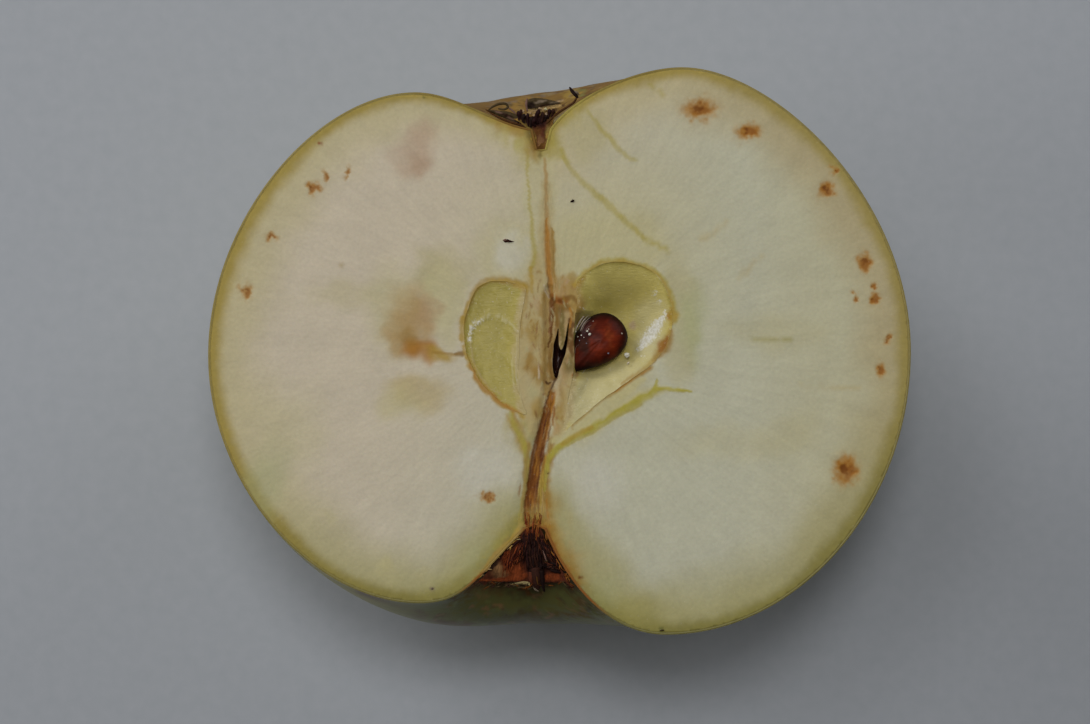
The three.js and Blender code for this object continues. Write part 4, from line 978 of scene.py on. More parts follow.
LIVELY = [(0.0, 1.5, 14.0, 11.5), (-2.0, -13.0, 4.8, 9.5), (-1.5, 18.5, 5.5, 8.0), (-14.5, 2.0, 4.5, 6.5),
          (4.0, 15.5, 6.0, 6.5), (5.0, 23.5, 4.0, 3.0), (-15.8, 20.0, 4.0, 4.0), (-9.0, -23.5, 5.0, 3.0)]
use_middling = middling & near_any(lattice, LIVELY + [(x, y, a + 1.2, b + 1.2) for x, y, a, b in SPOTS])
lattice_keep = coarse | use_middling
candidates = np.flatnonzero(~lattice_keep)
busy = near_lines(lattice[candidates], HEART, 0.25) | near_lines(lattice[candidates], RIM_LINES, 0.2)
busy |= near_lines(lattice[candidates], VESSELS[2:7] + VESSELS[-4:], 0.15)
busy |= near_any(lattice[candidates], [(x, y, a * 1.3, b * 1.3) for x, y, a, b in SPOTS])
busy |= near_any(lattice[candidates], [(-2.4, -0.5, 2.0, 7.5), (0.3, 3.8, 1.8, 2.0), (1.3, -1.5, 0.6, 3.0)])
lattice_keep[candidates[busy]] = True
rim_zone = np.flatnonzero(middling & ~lattice_keep)
lattice_keep[rim_zone[loop_distance(lattice[rim_zone], flesh_outline) < 1.3]] = True
lattice = lattice[lattice_keep]
lattice = lattice[inside(lattice, flesh_outline)]
lattice = lattice[loop_distance(lattice, flesh_outline) > 0.12]
lip_points = []
for rim in rims:
    ahead = np.roll(rim, -1, axis=0) - np.roll(rim, 1, axis=0)
    outward = np.stack([ahead[:, 1], -ahead[:, 0]], 1) / np.linalg.norm(ahead, axis=1)[:, None]
    lattice = lattice[~inside(lattice, rim)]
    lattice = lattice[loop_distance(lattice, rim) > 0.16]
    lip_points.append(rim + 0.08 * outward)
lip_points = np.vstack(lip_points)
for rim in rims:
    lip_points = lip_points[~inside(lip_points, rim)]
    lip_points = lip_points[loop_distance(lip_points, rim) > 0.06]
net_points = np.vstack([flesh_outline, *rims, lip_points, lattice])
net_edges, start = [], 0
for loop in [flesh_outline, *rims]:
    count = len(loop)
    net_edges += [(start + k, start + (k + 1) % count) for k in range(count)]
    start += count
made = delaunay_2d_cdt([Vector(p) for p in net_points], net_edges, [], 0, 1e-6)
net_xy = np.array([tuple(v) for v in made[0]])
source = [ids[0] for ids in made[3]]
triangles = np.array(made[2])
middle = net_xy[triangles].mean(1)
wanted = inside(middle, flesh_outline)
for rim in rims:
    wanted &= ~inside(middle, rim)
print("the cut face has", int(wanted.sum()), "triangles from", len(net_points), "points")

# %% Join the net, the bowls and the back
first_net = len(points) - len(outline_ids)
inner_ids = np.arange(len(outline_ids), len(net_points)) + first_net
global_id = np.concatenate([outline_ids, inner_ids]).astype(int)
points += [np.array([x, y, CUT_Z]) for x, y in net_points[len(outline_ids):]]
a, b, c = (net_xy[triangles[:, k]] for k in range(3))
turn = (b[:, 0] - a[:, 0]) * (c[:, 1] - a[:, 1]) - (b[:, 1] - a[:, 1]) * (c[:, 0] - a[:, 0])
upright = np.where((turn > 0)[:, None], triangles, triangles[:, ::-1])
faces += global_id[np.array(source)[upright[wanted]]].tolist()
flesh_face_count = len(faces)
rim_start = len(outline_ids)
bowl_spans = []
bowl_share = [np.ones(len(points))]
for (hollow, _), rim in zip(HOLLOWS, rims):
    count = len(rim)
    centre = np.array(hollow["centre"])
    before = [int(k) for k in global_id[rim_start:rim_start + count]]
    bowl_spans.append(len(points))
    for share in SHARES:
        ring = centre + (rim - centre) * share
        here = list(range(len(points), len(points) + count))
        points += [np.array([*p, CUT_Z - d]) for p, d in zip(ring, floor_depth(hollow, ring, share))]
        faces += [[before[k], before[(k + 1) % count], here[(k + 1) % count], here[k]] for k in range(count)]
        before = here
    points.append(np.array([*centre, CUT_Z - hollow["depth"]]))
    faces += [[before[k], before[(k + 1) % count], len(points) - 1] for k in range(count)]
    bowl_share.append(np.append(np.repeat(SHARES, count), 0))
    rim_start += count
bowl_spans.append(len(points))
bowl_share = np.concatenate(bowl_share)
points = np.array(points)
print("the flesh has", len(points), "points and", len(faces), "faces")

# %% [markdown]
# The face is not dead flat. Soft tissue has shrunk along the core line, the corky spots sit a little low, the
# vessel bundles stand up as fine cords, and the shed pip left a shallow print with a raised edge. Colour and
# height come from the same marks, so that what looks dry or torn is also where light catches.

# %% Colour and relief of the cut face and the chambers
xy = points[:, :2]
on_top = np.zeros(len(points), dtype=bool)
on_top[global_id] = True
in_bowls = np.zeros(len(points), dtype=bool)
in_bowls[bowl_spans[0]:] = True
tint = painted("cool cream", len(points))
rise = np.zeros(len(points))
faced, skin_mm = banded(xy[on_top], drifting_cream(xy[on_top]), flesh_outline)
face_rise = np.zeros(len(faced))
lay(xy[on_top], faced, face_rise, TINTS, 0.7, 2.2, 71, 0.25)
lay(xy[on_top], faced, face_rise, TISSUE + SEAMS, 0.25, 1.0, 72, 0.12)
lay(xy[on_top], faced, face_rise, VESSELS, 0.12, 0.9, 73, 0.25)
lay(xy[on_top], faced, face_rise, RIM_LINES, 0.14, 0.6, 75, 0.2)
face_rise *= 0.7
lay(xy[on_top], faced, face_rise, HEART, 0.08, 0.6, 77)
lay(xy[on_top], faced, face_rise, STREAKS, 0.04, 0.6, 78)
stained(xy[on_top], faced, skin_mm)
lay(xy[on_top], faced, face_rise, CORK, 0.32, 0.5, 79, 0.3)
lay(xy[on_top], faced, face_rise, FLECKS, 0.08, 0.3, 81)
face_rise += 0.05 * mottle(xy[on_top], 6, 31, 2) + 0.012 * mottle(xy[on_top], 0.9, 32, 2)
sunk = np.zeros(len(faced))
lay(xy[on_top], faced.copy(), sunk, [("full", 1, 0.1, -0.22,
                                      [(-1.0, 6, 0.8), (-1.0, -4, 1.0), (-2.2, -12, 1.8),
                                                                (-2.7, -18.5, 3.0)])])
rise[on_top] = (face_rise + sunk) * smoothstep(skin_mm, 0, 0.8) - 0.02
tint[on_top] = faced
bowl_tint, bowl_rise = tint[in_bowls], np.zeros(in_bowls.sum())
lay(xy[in_bowls], bowl_tint, bowl_rise, CHAMBER_MARKS, 0.1, 0.8, 83)
beside = ~((np.abs(xy[in_bowls][:, 0]) < 1.0) & (xy[in_bowls][:, 1] > -3.2) & (xy[in_bowls][:, 1] < 2.3))
seamed, flat_rise = bowl_tint[beside], np.zeros(beside.sum())
lay(xy[in_bowls][beside], seamed, flat_rise, SEAMS, 0.25, 1.0, 72, 0.12)
bowl_tint[beside] = seamed
lay(xy[in_bowls], bowl_tint, np.zeros(in_bowls.sum()), RIM_LINES, 0.14, 0.6, 75, 0.2)
wrinkle_way = np.stack([xy[in_bowls, 0] * 1.5 + 0.9 * xy[in_bowls, 1], 0.5 * xy[in_bowls, 1]], 1)
bowl_rise += 0.05 * mottle(wrinkle_way, 0.9, 41, 2) + 0.03 * mottle(xy[in_bowls], 0.6, 42, 2)
rise[in_bowls] = bowl_rise * smoothstep(1 - bowl_share[in_bowls], 0, 0.12)
for a, b in zip(bowl_spans[:-1], bowl_spans[1:]):
    rise[b - 1] = rise[b - 1 - int((b - a - 1) / len(SHARES)):b - 1].mean()
tint[in_bowls] = bowl_tint
# the first layer holds where near-white painted sheen goes in the lining's colour
painted_sheen_layer, fibre_layer, spare = np.zeros(len(points)), np.zeros(len(points)), np.zeros(len(points))
for layer, where in ((painted_sheen_layer, PAINTED_SHEEN_PLACES), (fibre_layer, FIBROUS_PLACES)):
    share = np.zeros((len(points), 3))
    lay(xy, share, spare, where, 0.15, 0.8, 85)
    layer[:] = share[:, 0]
points[:, 2] += rise
print("the cut face undulates by", round(float(np.ptp(points[on_top, 2])), 2), "mm")

# %% [markdown]
# ## Flesh, fresh cut: a moist dielectric
# Apple flesh is thin-walled cells full of juice. Light enters and comes back out cream, the wet surface gives
# a soft broad sheen, and cut cells make a fine grain about 0.35 mm across. A few bright points are painted
# glints: near-white painted into the colour at the cell centres. The cells lie in rows that run out from the
# core, so a faint streak follows them.

# %% Flesh material
flesh_finish, tree, shader, here = material("fresh_cut_apple_flesh")
tinted = add(tree, "Attribute", attribute_name="tint").outputs["Color"]
flat = add(tree, "Mapping", {"Vector": here, "Location": (0.5, -1.0, 0),
                             "Scale": (1, 1, 0)}).outputs["Vector"]
ray = add(tree, "VectorMath", {0: flat}, operation="NORMALIZE").outputs["Vector"]
ray_wide = dimmed(tree, ray, 26.0)
distance = add(tree, "VectorMath", {0: flat}, operation="LENGTH").outputs["Value"]
stretched = add(tree, "Math", {0: distance, 1: 0.22}, operation="MULTIPLY").outputs["Value"]
outward = add(tree, "CombineXYZ", {"Z": stretched})
ray_place = add(tree, "VectorMath", {0: ray_wide, 1: outward.outputs["Vector"]},
                operation="ADD").outputs["Vector"]
rows_noise = noise_of(tree, ray_place, 1.1, 3.0, 0.6)
clouds = noise_of(tree, here, 1 / 3.5, 4.0, 0.6)
grain = noise_of(tree, here, 1 / 0.35, 3.0, 0.6)
cells = add(tree, "TexVoronoi", {"Vector": here, "Scale": 1 / 0.6, "Randomness": 1.0},
            feature="F1").outputs["Distance"]
fibrous = add(tree, "Attribute", attribute_name="fibrous").outputs["Fac"]
fibre_way = add(tree, "Mapping", {"Vector": here, "Rotation": (0, 0, math.radians(8)),
                                  "Scale": (5.0, 0.7, 1.0)})
threads = noise_of(tree, fibre_way.outputs["Vector"], 1.6, 4.0, 0.7)
thread_value = mapped(tree, threads, 0.3, 0.62, -0.3, 0.08)
thread_share = add(tree, "Math", {0: thread_value, 1: fibrous, 2: 1.0}, operation="MULTIPLY_ADD")
colour = dimmed(tree, tinted, thread_share.outputs["Value"])
for noise, low, high in ((rows_noise, 0.965, 1.035), (clouds, 0.96, 1.04), (grain, 0.955, 1.04)):
    value = mapped(tree, noise, 0.3, 0.7, low, high)
    colour = dimmed(tree, colour, value)
# painted glints: near-white mixed into the colour at the middle of each cell
painted_glint = mapped(tree, cells, 0.13, 0.04, 0, 0.1)
with_painted_glints = mixed(tree, painted_glint, colour, linear("#efece0"))
tree.links.new(with_painted_glints, shader.inputs["Base Color"])
cellular = add(tree, "Math", {0: grain, 1: 1.0, 2: cells}, operation="MULTIPLY_ADD").outputs["Value"]
ridged = add(tree, "Math", {0: rows_noise, 1: 1.5, 2: cellular}, operation="MULTIPLY_ADD").outputs["Value"]
bump = add(tree, "Bump", {"Height": ridged, "Strength": 0.35, "Distance": 0.05 * MM})
tree.links.new(bump.outputs["Normal"], shader.inputs["Normal"])
wet = mapped(tree, clouds, 0.3, 0.7, 0.45, 0.62)
tree.links.new(wet, shader.inputs["Roughness"])
shader.inputs["IOR"].default_value = 1.38
shader.inputs["Specular IOR Level"].default_value = 0.12
shader.inputs["Subsurface Weight"].default_value = 0.02
shader.inputs["Subsurface Radius"].default_value = (0.8, 0.35, 0.1)
shader.inputs["Subsurface Scale"].default_value = 1.0 * MM
print("flesh grain is about 0.35 mm across")

# %% [markdown]
# ## Chamber lining: a smooth parchment
# Each seed chamber is lined with a tough, smooth, half-clear parchment. It is glossier than the flesh, and
# fine ridges across it break its highlight into a grainy streak. Where juice lies, a grainy near-white is
# also painted into its colour, as painted sheen.

# %% Chamber lining material
lining_finish, tree, shader, here = material("seed_chamber_parchment")
tinted = add(tree, "Attribute", attribute_name="tint").outputs["Color"]
painted_sheen_mask = add(tree, "Attribute", attribute_name="wet").outputs["Fac"]
blotch = noise_of(tree, here, 1 / 1.2, 4.0, 0.6)
value = mapped(tree, blotch, 0.3, 0.7, 0.94, 1.06)
final = dimmed(tree, tinted, value)
drops = noise_of(tree, here, 1 / 0.25, 2.0, 0.6)
# painted sheen: near-white mixed into the colour where the sheen layer and fine grains say
painted_sheen_share = add(tree, "Math", {0: painted_sheen_mask, 1: 0.3, 2: drops}, operation="MULTIPLY_ADD").outputs["Value"]
painted_sheen = mapped(tree, painted_sheen_share, 0.64, 0.95, 0, 0.95)
with_painted_sheen = mixed(tree, painted_sheen, final, linear("#f3f0e4"))
tree.links.new(with_painted_sheen, shader.inputs["Base Color"])
ridge_way = add(tree, "Mapping", {"Vector": here, "Rotation": (0, 0, math.radians(-35)),
                                  "Scale": (0.6, 2.2, 1.0)})
ridges = noise_of(tree, ridge_way.outputs["Vector"], 2.4, 4.0, 0.7)
bump = add(tree, "Bump", {"Height": ridges, "Strength": 0.6, "Distance": 0.12 * MM})
tree.links.new(bump.outputs["Normal"], shader.inputs["Normal"])
shader.inputs["Roughness"].default_value = 0.3
shader.inputs["IOR"].default_value = 1.4
print("lining ridges are about", round(1 / 2.4 / 2.2, 2), "mm apart")

# %% Flesh object
finish_of_face = np.zeros(len(faces), dtype=np.int32)
finish_of_face[flesh_face_count:] = 1
piece("cut_flesh", points, faces, [flesh_finish, lining_finish], "flesh", "apple_half", finish_of_face, tint,
      wet=painted_sheen_layer, fibrous=fibre_layer)

# %% [markdown]
# ## The skin
# The skin is a tough film a quarter of a millimetre thick. On the cut face only its edge shows, as a thin
# darker line round the cream, so it is a real shell here: an outer grid, the same grid a little deeper, and a
# rounded edge between them along the cut. Its colour changes with the place on the fruit: green-yellow on
# the cheeks, corky brown in the calyx hollow and the stalk's pit, where marks of their own are laid on it.
# In the pit and on the far skin just below it, some of these marks are painted shade.

# %% Skin shell
turn = np.linspace(0, np.pi, 121)
skin_angles = 90 - 90 * np.cos(turn) * (1 - 0.35 * np.sin(turn) ** 2)
STEPS = (40, 44, 48, 40)
outer, outer_poles, skin_profile = fruit_grid(skin_angles, STEPS, 0.0, bumps=0.05)
inner, inner_poles, _ = fruit_grid(skin_angles, STEPS, SKIN_THICK)
columns, rows = outer.shape[:2]
count = columns * rows + 2
outer_ids, inner_ids = edge_loop(columns, rows), edge_loop(columns, rows, count)
skin_points = np.vstack([outer.reshape(-1, 3), outer_poles, inner.reshape(-1, 3), inner_poles])
skin_faces = grid_faces(columns, rows) + [face[::-1] for face in grid_faces(columns, rows, count)]
ring_a = skin_points[outer_ids] * 0.8 + skin_points[inner_ids] * 0.2
ring_b = skin_points[outer_ids] * 0.35 + skin_points[inner_ids] * 0.65
loop_size = len(outer_ids)
lift = 0.02 * mottle(ring_a[:, :2], 1.5, 51, 2)
ring_a[:, 2] += 0.03 + lift
ring_b[:, 2] += 0.045 + lift
skin_points[outer_ids, 2] -= 0.05
skin_points[inner_ids, 2] -= 0.06
ids_a = np.arange(loop_size) + len(skin_points)
ids_b = ids_a + loop_size
skin_points = np.vstack([skin_points, ring_a, ring_b])
for low, high in ((outer_ids, ids_a), (ids_a, ids_b), (ids_b, inner_ids)):
    for k in range(loop_size):
        after = (k + 1) % loop_size
        skin_faces.append([low[k], low[after], high[after], high[k]])
print("the skin shell is", SKIN_THICK, "mm thick")

# %% Marks in the calyx hollow and the stalk's pit, seen from above
BASIN_MARKS = [
    ("umber", 0.95, 0.4, 0, (-2.0, 25.5, 12.0, 5.5, 0)), ("ochre", 0.7, 0, 0, (-4.2, 25.4, 2.0, 0.8, 10)),
    ("umber", 0.7, 0.1, 0, (-6.8, 25.0, 1.6, 0.5, 8)), ("umber", 0.6, 0, 0, (-2.2, 26.0, 3.0, 0.4, 8)),
    ("pollen", 0.85, 0.2, 0, (-0.7, 25.05, 1.2, 0.5, 8)),
    ("vessel gold", 0.8, 0.1, 0, (1.2, 26.4, 1.6, 0.5, 12)),
    ("leaf green", 0.8, 0.2, 0, (2.7, 26.35, 0.8, 0.3, 5)), ("umber", 0.7, 0, 0, (4.5, 27.1, 3.0, 0.5, 12)),
    ("grey sepal", 0.8, 0.1, 0, [(-8.0, 25.25, 0.12), (-6.0, 25.5, 0.16), (-3.5, 25.9, 0.16),
     (0.7, 26.5, 0.16), (4.0, 27.15, 0.14)]),
    ("dark bark", 0.9, 0.1, 0, [(-0.9, 23.7, 0.22), (-0.2, 24.35, 0.22), (0.6, 24.95, 0.2),
     (1.4, 25.5, 0.2), (1.8, 26.1, 0.18)]),
    ("bark", 0.85, 0.1, 0, [(-8.2, 24.85, 0.12), (-7.2, 24.5, 0.22), (-6.4, 23.95, 0.26), (-5.0, 23.4, 0.3),
     (-3.6, 23.0, 0.4)]),
]
MOUTH_MARKS = [  # flesh that stands a little over the hollow's mouth
    ("light tissue", 0.97, 0.4, 0, [(-0.9, 22.4, 0.3), (-0.55, 23.2, 0.45), (0.15, 24.05, 0.5),
     (0.95, 24.75, 0.5), (1.9, 25.4, 0.5), (3.2, 26.1, 0.42), (4.8, 26.85, 0.34), (6.3, 27.55, 0.24)]),
    ("parchment", 0.97, 0.4, 0, [(-9.3, 24.7, 0.25), (-8.3, 24.25, 0.42), (-7.2, 23.9, 0.5),
     (-6.2, 23.35, 0.45), (-5.2, 22.95, 0.35), (-4.2, 22.7, 0.25)]),
    ("rust", 0.8, 0, 0, (-6.1, 23.4, 0.9, 0.5, -20)),
    ("vessel gold", 0.8, 0, 0, (-8.4, 24.45, 1.0, 0.4, -15)),
]
draw = np.random.default_rng(31)
BLOTCH_TINTS = ("dusk", "ochre", "bark", "tissue", "dusk", "ochre")
BLOTCHES = [(BLOTCH_TINTS[draw.integers(6)], draw.uniform(0.4, 0.75), 0.1, 0,
             (draw.uniform(-7.5, 4.5), draw.uniform(24.4, 27.2), draw.uniform(0.25, 0.8),
              draw.uniform(0.12, 0.3), 8))
            for _ in range(70)]
PIT_MARKS = [
    # painted shade: this near-black patch darkens the pit's wall, which lies deep in shade
    ("dark bark", 0.95, 0.6, 0, (-3.4, -21.6, 6.4, 3.2, 0)),
    ("burnt", 0.8, 0.1, 0, (-4.9, -21.9, 1.4, 1.8, 20)),
    ("pale cork", 0.85, 0.2, 0, (-6.15, -22.5, 0.6, 1.0, 0)),
    ("pale cork", 0.7, 0.1, 0, (-5.7, -23.1, 1.0, 0.45, 0)),
    ("pip black", 0.95, 0.2, 0, [(-5.5, -20.5, 0.25), (-6.1, -21.1, 0.3), (-6.8, -21.8, 0.3),
     (-7.1, -22.4, 0.2)]),
    ("red cork", 0.95, 0.3, 0, [(-8.8, -24.0, 0.25), (-7.6, -23.8, 0.35), (-6.2, -23.65, 0.38),
     (-5, -23.55, 0.38), (-3.6, -23.35, 0.3)]), ("red cork", 0.9, 0.2, 0, (-0.7, -23.3, 1.2, 0.5, 8)),
    # painted shade: soot deepens the pit's shade; the moss band here and the dark bark band just below darken
    # the green far skin under the stalk end
    ("soot", 0.9, 0.3, 0, (-2.6, -21.0, 1.9, 2.4, 0)), ("moss", 0.95, 0.5, 0, (-3.0, -26.4, 10.0, 2.6, 0)),
    ("dusk", 0.7, 0, 0, (-3.5, -25.0, 3.0, 0.8, 0)),
    ("bark", 0.7, 0.1, 0, [(-4.5, -24.5, 0.2), (-2.5, -24.9, 0.2), (-0.5, -24.4, 0.2), (1.0, -25.0, 0.2),
     (2.2, -25.8, 0.2)]), ("dark bark", 0.5, 0, 0, (-3.0, -27.4, 4.5, 0.9, 0)),
    ("bark", 0.6, 0, 0, (1.5, -27.3, 3.0, 0.7, -5)),
    ("bark", 0.85, 0.1, 0, [(-22.0, -22.6, 0.5), (-19.5, -25.2, 1.0), (-16.5, -27.4, 1.5),
     (-13.0, -28.6, 1.5), (-9.5, -28.6, 1.2)]),
]
PIT_TINTS = ("leaf green", "dusk", "pale cork", "moss", "bark")
PIT_MARKS += [(PIT_TINTS[draw.integers(5)], draw.uniform(0.45, 0.85), 0.1, 0,
               (draw.uniform(-14, 7), draw.uniform(-28.8, -24.4), draw.uniform(0.3, 1.1),
                draw.uniform(0.12, 0.35), -4))
              for _ in range(110)]

# %% [markdown]
# ## Apple skin: waxed, green-yellow, with pores and russet
# Skin is a pigmented film under natural wax, so it is satin to glossy. The ground colour drifts between
# yellow-green and olive over some 10 mm. Pale corky pores, the lenticels, sit 3 to 5 mm apart. Brown russet,
# a rough cork that grows where skin has cracked, covers both hollows and fades over their shoulders.

# %% Skin material
skin_finish, tree, shader, here = material("waxed_apple_skin")
drift = noise_of(tree, here, 1 / 11, 4.0, 0.6)
fine = noise_of(tree, here, 1 / 0.8, 4.0, 0.65)
ground = add(tree, "ValToRGB", {"Fac": drift}, stops=[(0.3, "#98923c"), (0.72, "#b8a54c"), (0.5, "#a99e44")])
pores = add(tree, "TexVoronoi", {"Vector": here, "Scale": 1 / 4.2, "Randomness": 0.9},
            feature="F1").outputs["Distance"]
pore = mapped(tree, pores, 0.085, 0.05, 0, 0.7)
halo = mapped(tree, pores, 0.22, 0.1, 0, 0.3)
haloed = mixed(tree, halo, ground.outputs["Color"], linear("#8f9a45"))
dotted = mixed(tree, pore, haloed, linear("#a08a58"))
colour = dotted
RUSSET = [("green_end", "#6f7432", 0.0, 1.0, 0.5), ("russet", "#866a34", 0.25, 0.85, 0.8),
          ("deep", "#4f3c1c", 0.2, 0.95, 0.6), ("tube", "#6b4218", 0.3, 0.8, 0.3)]
russet_shares = []
for name, tint_name, low_mask, full_mask, noise in RUSSET:
    mask = add(tree, "Attribute", attribute_name=name).outputs["Fac"]
    centred = add(tree, "Math", {0: fine, 1: 0.5}, operation="SUBTRACT")
    broken = add(tree, "Math", {0: centred.outputs["Value"], 1: 2 * noise, 2: mask}, operation="MULTIPLY_ADD")
    edges = {"Value": broken.outputs["Value"], "From Min": low_mask, "From Max": full_mask, "To Max": 0.9}
    share = add(tree, "MapRange", edges, interpolation_type="SMOOTHSTEP").outputs["Result"]
    colour = mixed(tree, share, colour, linear(tint_name))
    russet_shares.append(share)
marks = add(tree, "Attribute", attribute_name="tint")
marked = mixed(tree, marks.outputs["Alpha"], colour, marks.outputs["Color"])
value = mapped(tree, fine, 0.25, 0.75, 0.84, 1.12)
final = dimmed(tree, marked, value)
tree.links.new(final, shader.inputs["Base Color"])
tree.links.new(mapped(tree, russet_shares[1], 0, 1, 0.34, 0.78), shader.inputs["Roughness"])
peel = noise_of(tree, here, 1 / 0.5, 3.0, 0.5)
bump = add(tree, "Bump", {"Height": peel, "Strength": 0.2, "Distance": 0.1 * MM})
pitted = add(tree, "Bump", {"Height": pore, "Strength": 0.3, "Distance": 0.05 * MM,
                            "Normal": bump.outputs["Normal"]})
tree.links.new(pitted.outputs["Normal"], shader.inputs["Normal"])
shader.inputs["IOR"].default_value = 1.45
shader.inputs["Specular IOR Level"].default_value = 0.22
print("skin pores are about 4.2 mm apart")

# %% Skin object with its layers
def seen_xy(points_mm):
    """Where points below the cut plane seem to lie in it, seen from 400 mm above and a little stalk-side."""
    eye = np.array([-1.5, -29.2, CUT_Z + 399.0])
    return eye[:2] + (points_mm[:, :2] - eye[:2]) * ((eye[2] - CUT_Z) / (eye[2] - points_mm[:, 2]))[:, None]


radius = np.concatenate([skin_profile[..., 0].ravel(), [0, 0]])
height = np.concatenate([skin_profile[..., 1].ravel(), [TUBE_END, PIT_FLOOR]])
radius, height = np.tile(radius, 2), np.tile(height, 2)
radius = np.concatenate([radius, np.tile(radius[outer_ids], 2)])
height = np.concatenate([height, np.tile(height[outer_ids], 2)])
top_side, stalk_side = smoothstep(height, 10, 18), smoothstep(-height, 10, 16)
skin_tint = np.zeros((len(skin_points), 4))
spare = np.zeros(len(skin_points))
hollow_side = (np.abs(skin_points[:, 1]) > 15) & (skin_points[:, 2] > CUT_Z - 16)
laid, laid_rise = skin_tint[hollow_side], spare[hollow_side]
below, down_the_side = CUT_Z - skin_points[hollow_side, 2], skin_points[hollow_side][:, [0, 2]]
seen = seen_xy(skin_points[hollow_side])
lay(seen, laid, laid_rise, MOUTH_MARKS, 0.15, 0.5, 91)
laid[:, 3] *= 1 - smoothstep(below, 1.2, 2.4)
mouth = laid.copy()
laid[:, 3] = 0
stirred = seen + 0.55 * smoothstep(below, 0.8, 3.5)[:, None] * np.stack(
    [mottle(down_the_side, 1.3, 96, 3), mottle(down_the_side, 1.3, 97, 3)], 1)
lay(stirred, laid, laid_rise, BASIN_MARKS + BLOTCHES + PIT_MARKS, 0.15, 0.5, 91, 0.25)
laid[:, :3] += mouth[:, 3:] * (mouth[:, :3] - laid[:, :3])
laid[:, 3:] = np.maximum(laid[:, 3:], mouth[:, 3:])
laid[:, 3] *= np.maximum(1 - smoothstep(radius[hollow_side], 11.5, 15.5), 1 - smoothstep(below, 1.0, 4.0))
skin_tint[hollow_side] = laid
cut_ids = np.concatenate([outer_ids, inner_ids, ids_a, ids_b])
cut_tint = banded(skin_points[cut_ids][:, :2], np.zeros((len(cut_ids), 3)), skin_points[outer_ids][:, :2])[0]
skin_tint[cut_ids, :3] = 0.72 * cut_tint
skin_tint[cut_ids, 3] = 0.9
# Which hollow, where its stained edge ends, the tint left of a place, that place, and the tint elsewhere.
EDGE_TINTS = [
    (-1, 5.5, 8.2, "tissue", -3.9, -22.8, "rust"), (1, 3.5, 6.5, "umber", -1.9, -50, "parchment")]
cut_x, cut_y = skin_points[cut_ids, 0], skin_points[cut_ids, 1]
for side, low, high, left_name, split_x, split_y, right_name in EDGE_TINTS:
    stained_edge = (1 - smoothstep(radius[cut_ids], low, high)) * (side * height[cut_ids] > 10)
    left = 1 - smoothstep(cut_x, split_x - 0.5, split_x + 0.5)
    left *= smoothstep(cut_y, split_y - 0.4, split_y + 0.4)
    edge_tint = rgb_of(right_name) + left[:, None] * (rgb_of(left_name) - rgb_of(right_name))
    skin_tint[cut_ids, :3] += stained_edge[:, None] * (edge_tint - skin_tint[cut_ids, :3])
piece("apple_skin", skin_points, skin_faces, [skin_finish], "flesh", "apple_half", tint=skin_tint,
             green_end=stalk_side * (1 - smoothstep(radius, 8, 24)),
             russet=np.maximum(top_side * (1 - smoothstep(radius, 9, 17)),
                               0.9 * stalk_side * (1 - smoothstep(radius, 5, 12))),
             deep=np.maximum(top_side * (1 - smoothstep(radius, 1.5, 7)),
                             stalk_side * (1 - smoothstep(radius, 3, 10))),
             tube=top_side * (1 - smoothstep(height, 22.4, 23.4)) * (1 - smoothstep(radius, 1.5, 3.0)))

# %% [markdown]
# ## Three ways to make a small dry piece
# Fibres, stamens and folds are strands: a line of changing radius with a ring of points at each station.
# Sepals, flaps and the wall of the tube are sheets: a grid with a copy a little below it and walls between.
# Chips and beads are lumps: a ball of rings pushed about by random hills. All three give closed meshes.


# %% Strands, sheets and lumps
def in_model(stations):
    """Stations given as x, y, depth and radius, with each depth turned into a height."""
    return [(x, y, CUT_Z - depth, radius) for x, y, depth, radius in stations]


def strand(stations, sides=6, steps=4, flat=1.0):
    """A closed tapering rod through rows of x, y, z and radius. `flat` squashes it toward the cut plane."""
    line = through(stations, steps, spatial=3)
    place, radius = line[:, :3], np.maximum(line[:, 3], 0.01)
    ahead = np.gradient(place, axis=0)
    ahead /= np.maximum(np.linalg.norm(ahead, axis=1, keepdims=True), 1e-9)
    sideways = np.cross(ahead, (0.05, 0.02, 1.0))
    sideways /= np.maximum(np.linalg.norm(sideways, axis=1, keepdims=True), 1e-9)
    upward = np.cross(sideways, ahead)
    turns = np.linspace(0, 2 * np.pi, sides, endpoint=False)[None, :, None]
    spokes = np.cos(turns) * sideways[:, None] + flat * np.sin(turns) * upward[:, None]
    rings = place[:, None] + radius[:, None, None] * spokes
    n = len(rings)
    made = np.vstack([rings.reshape(-1, 3), place[:1] - 0.5 * radius[0] * ahead[:1],
                      place[-1:] + 0.5 * radius[-1] * ahead[-1:]])
    net = []
    for k in range(sides):
        after = (k + 1) % sides
        net += [[i * sides + after, i * sides + k, (i + 1) * sides + k, (i + 1) * sides + after]
                for i in range(n - 1)]
        net += [[n * sides, k, after], [n * sides + 1, (n - 1) * sides + after, (n - 1) * sides + k]]
    return made, net


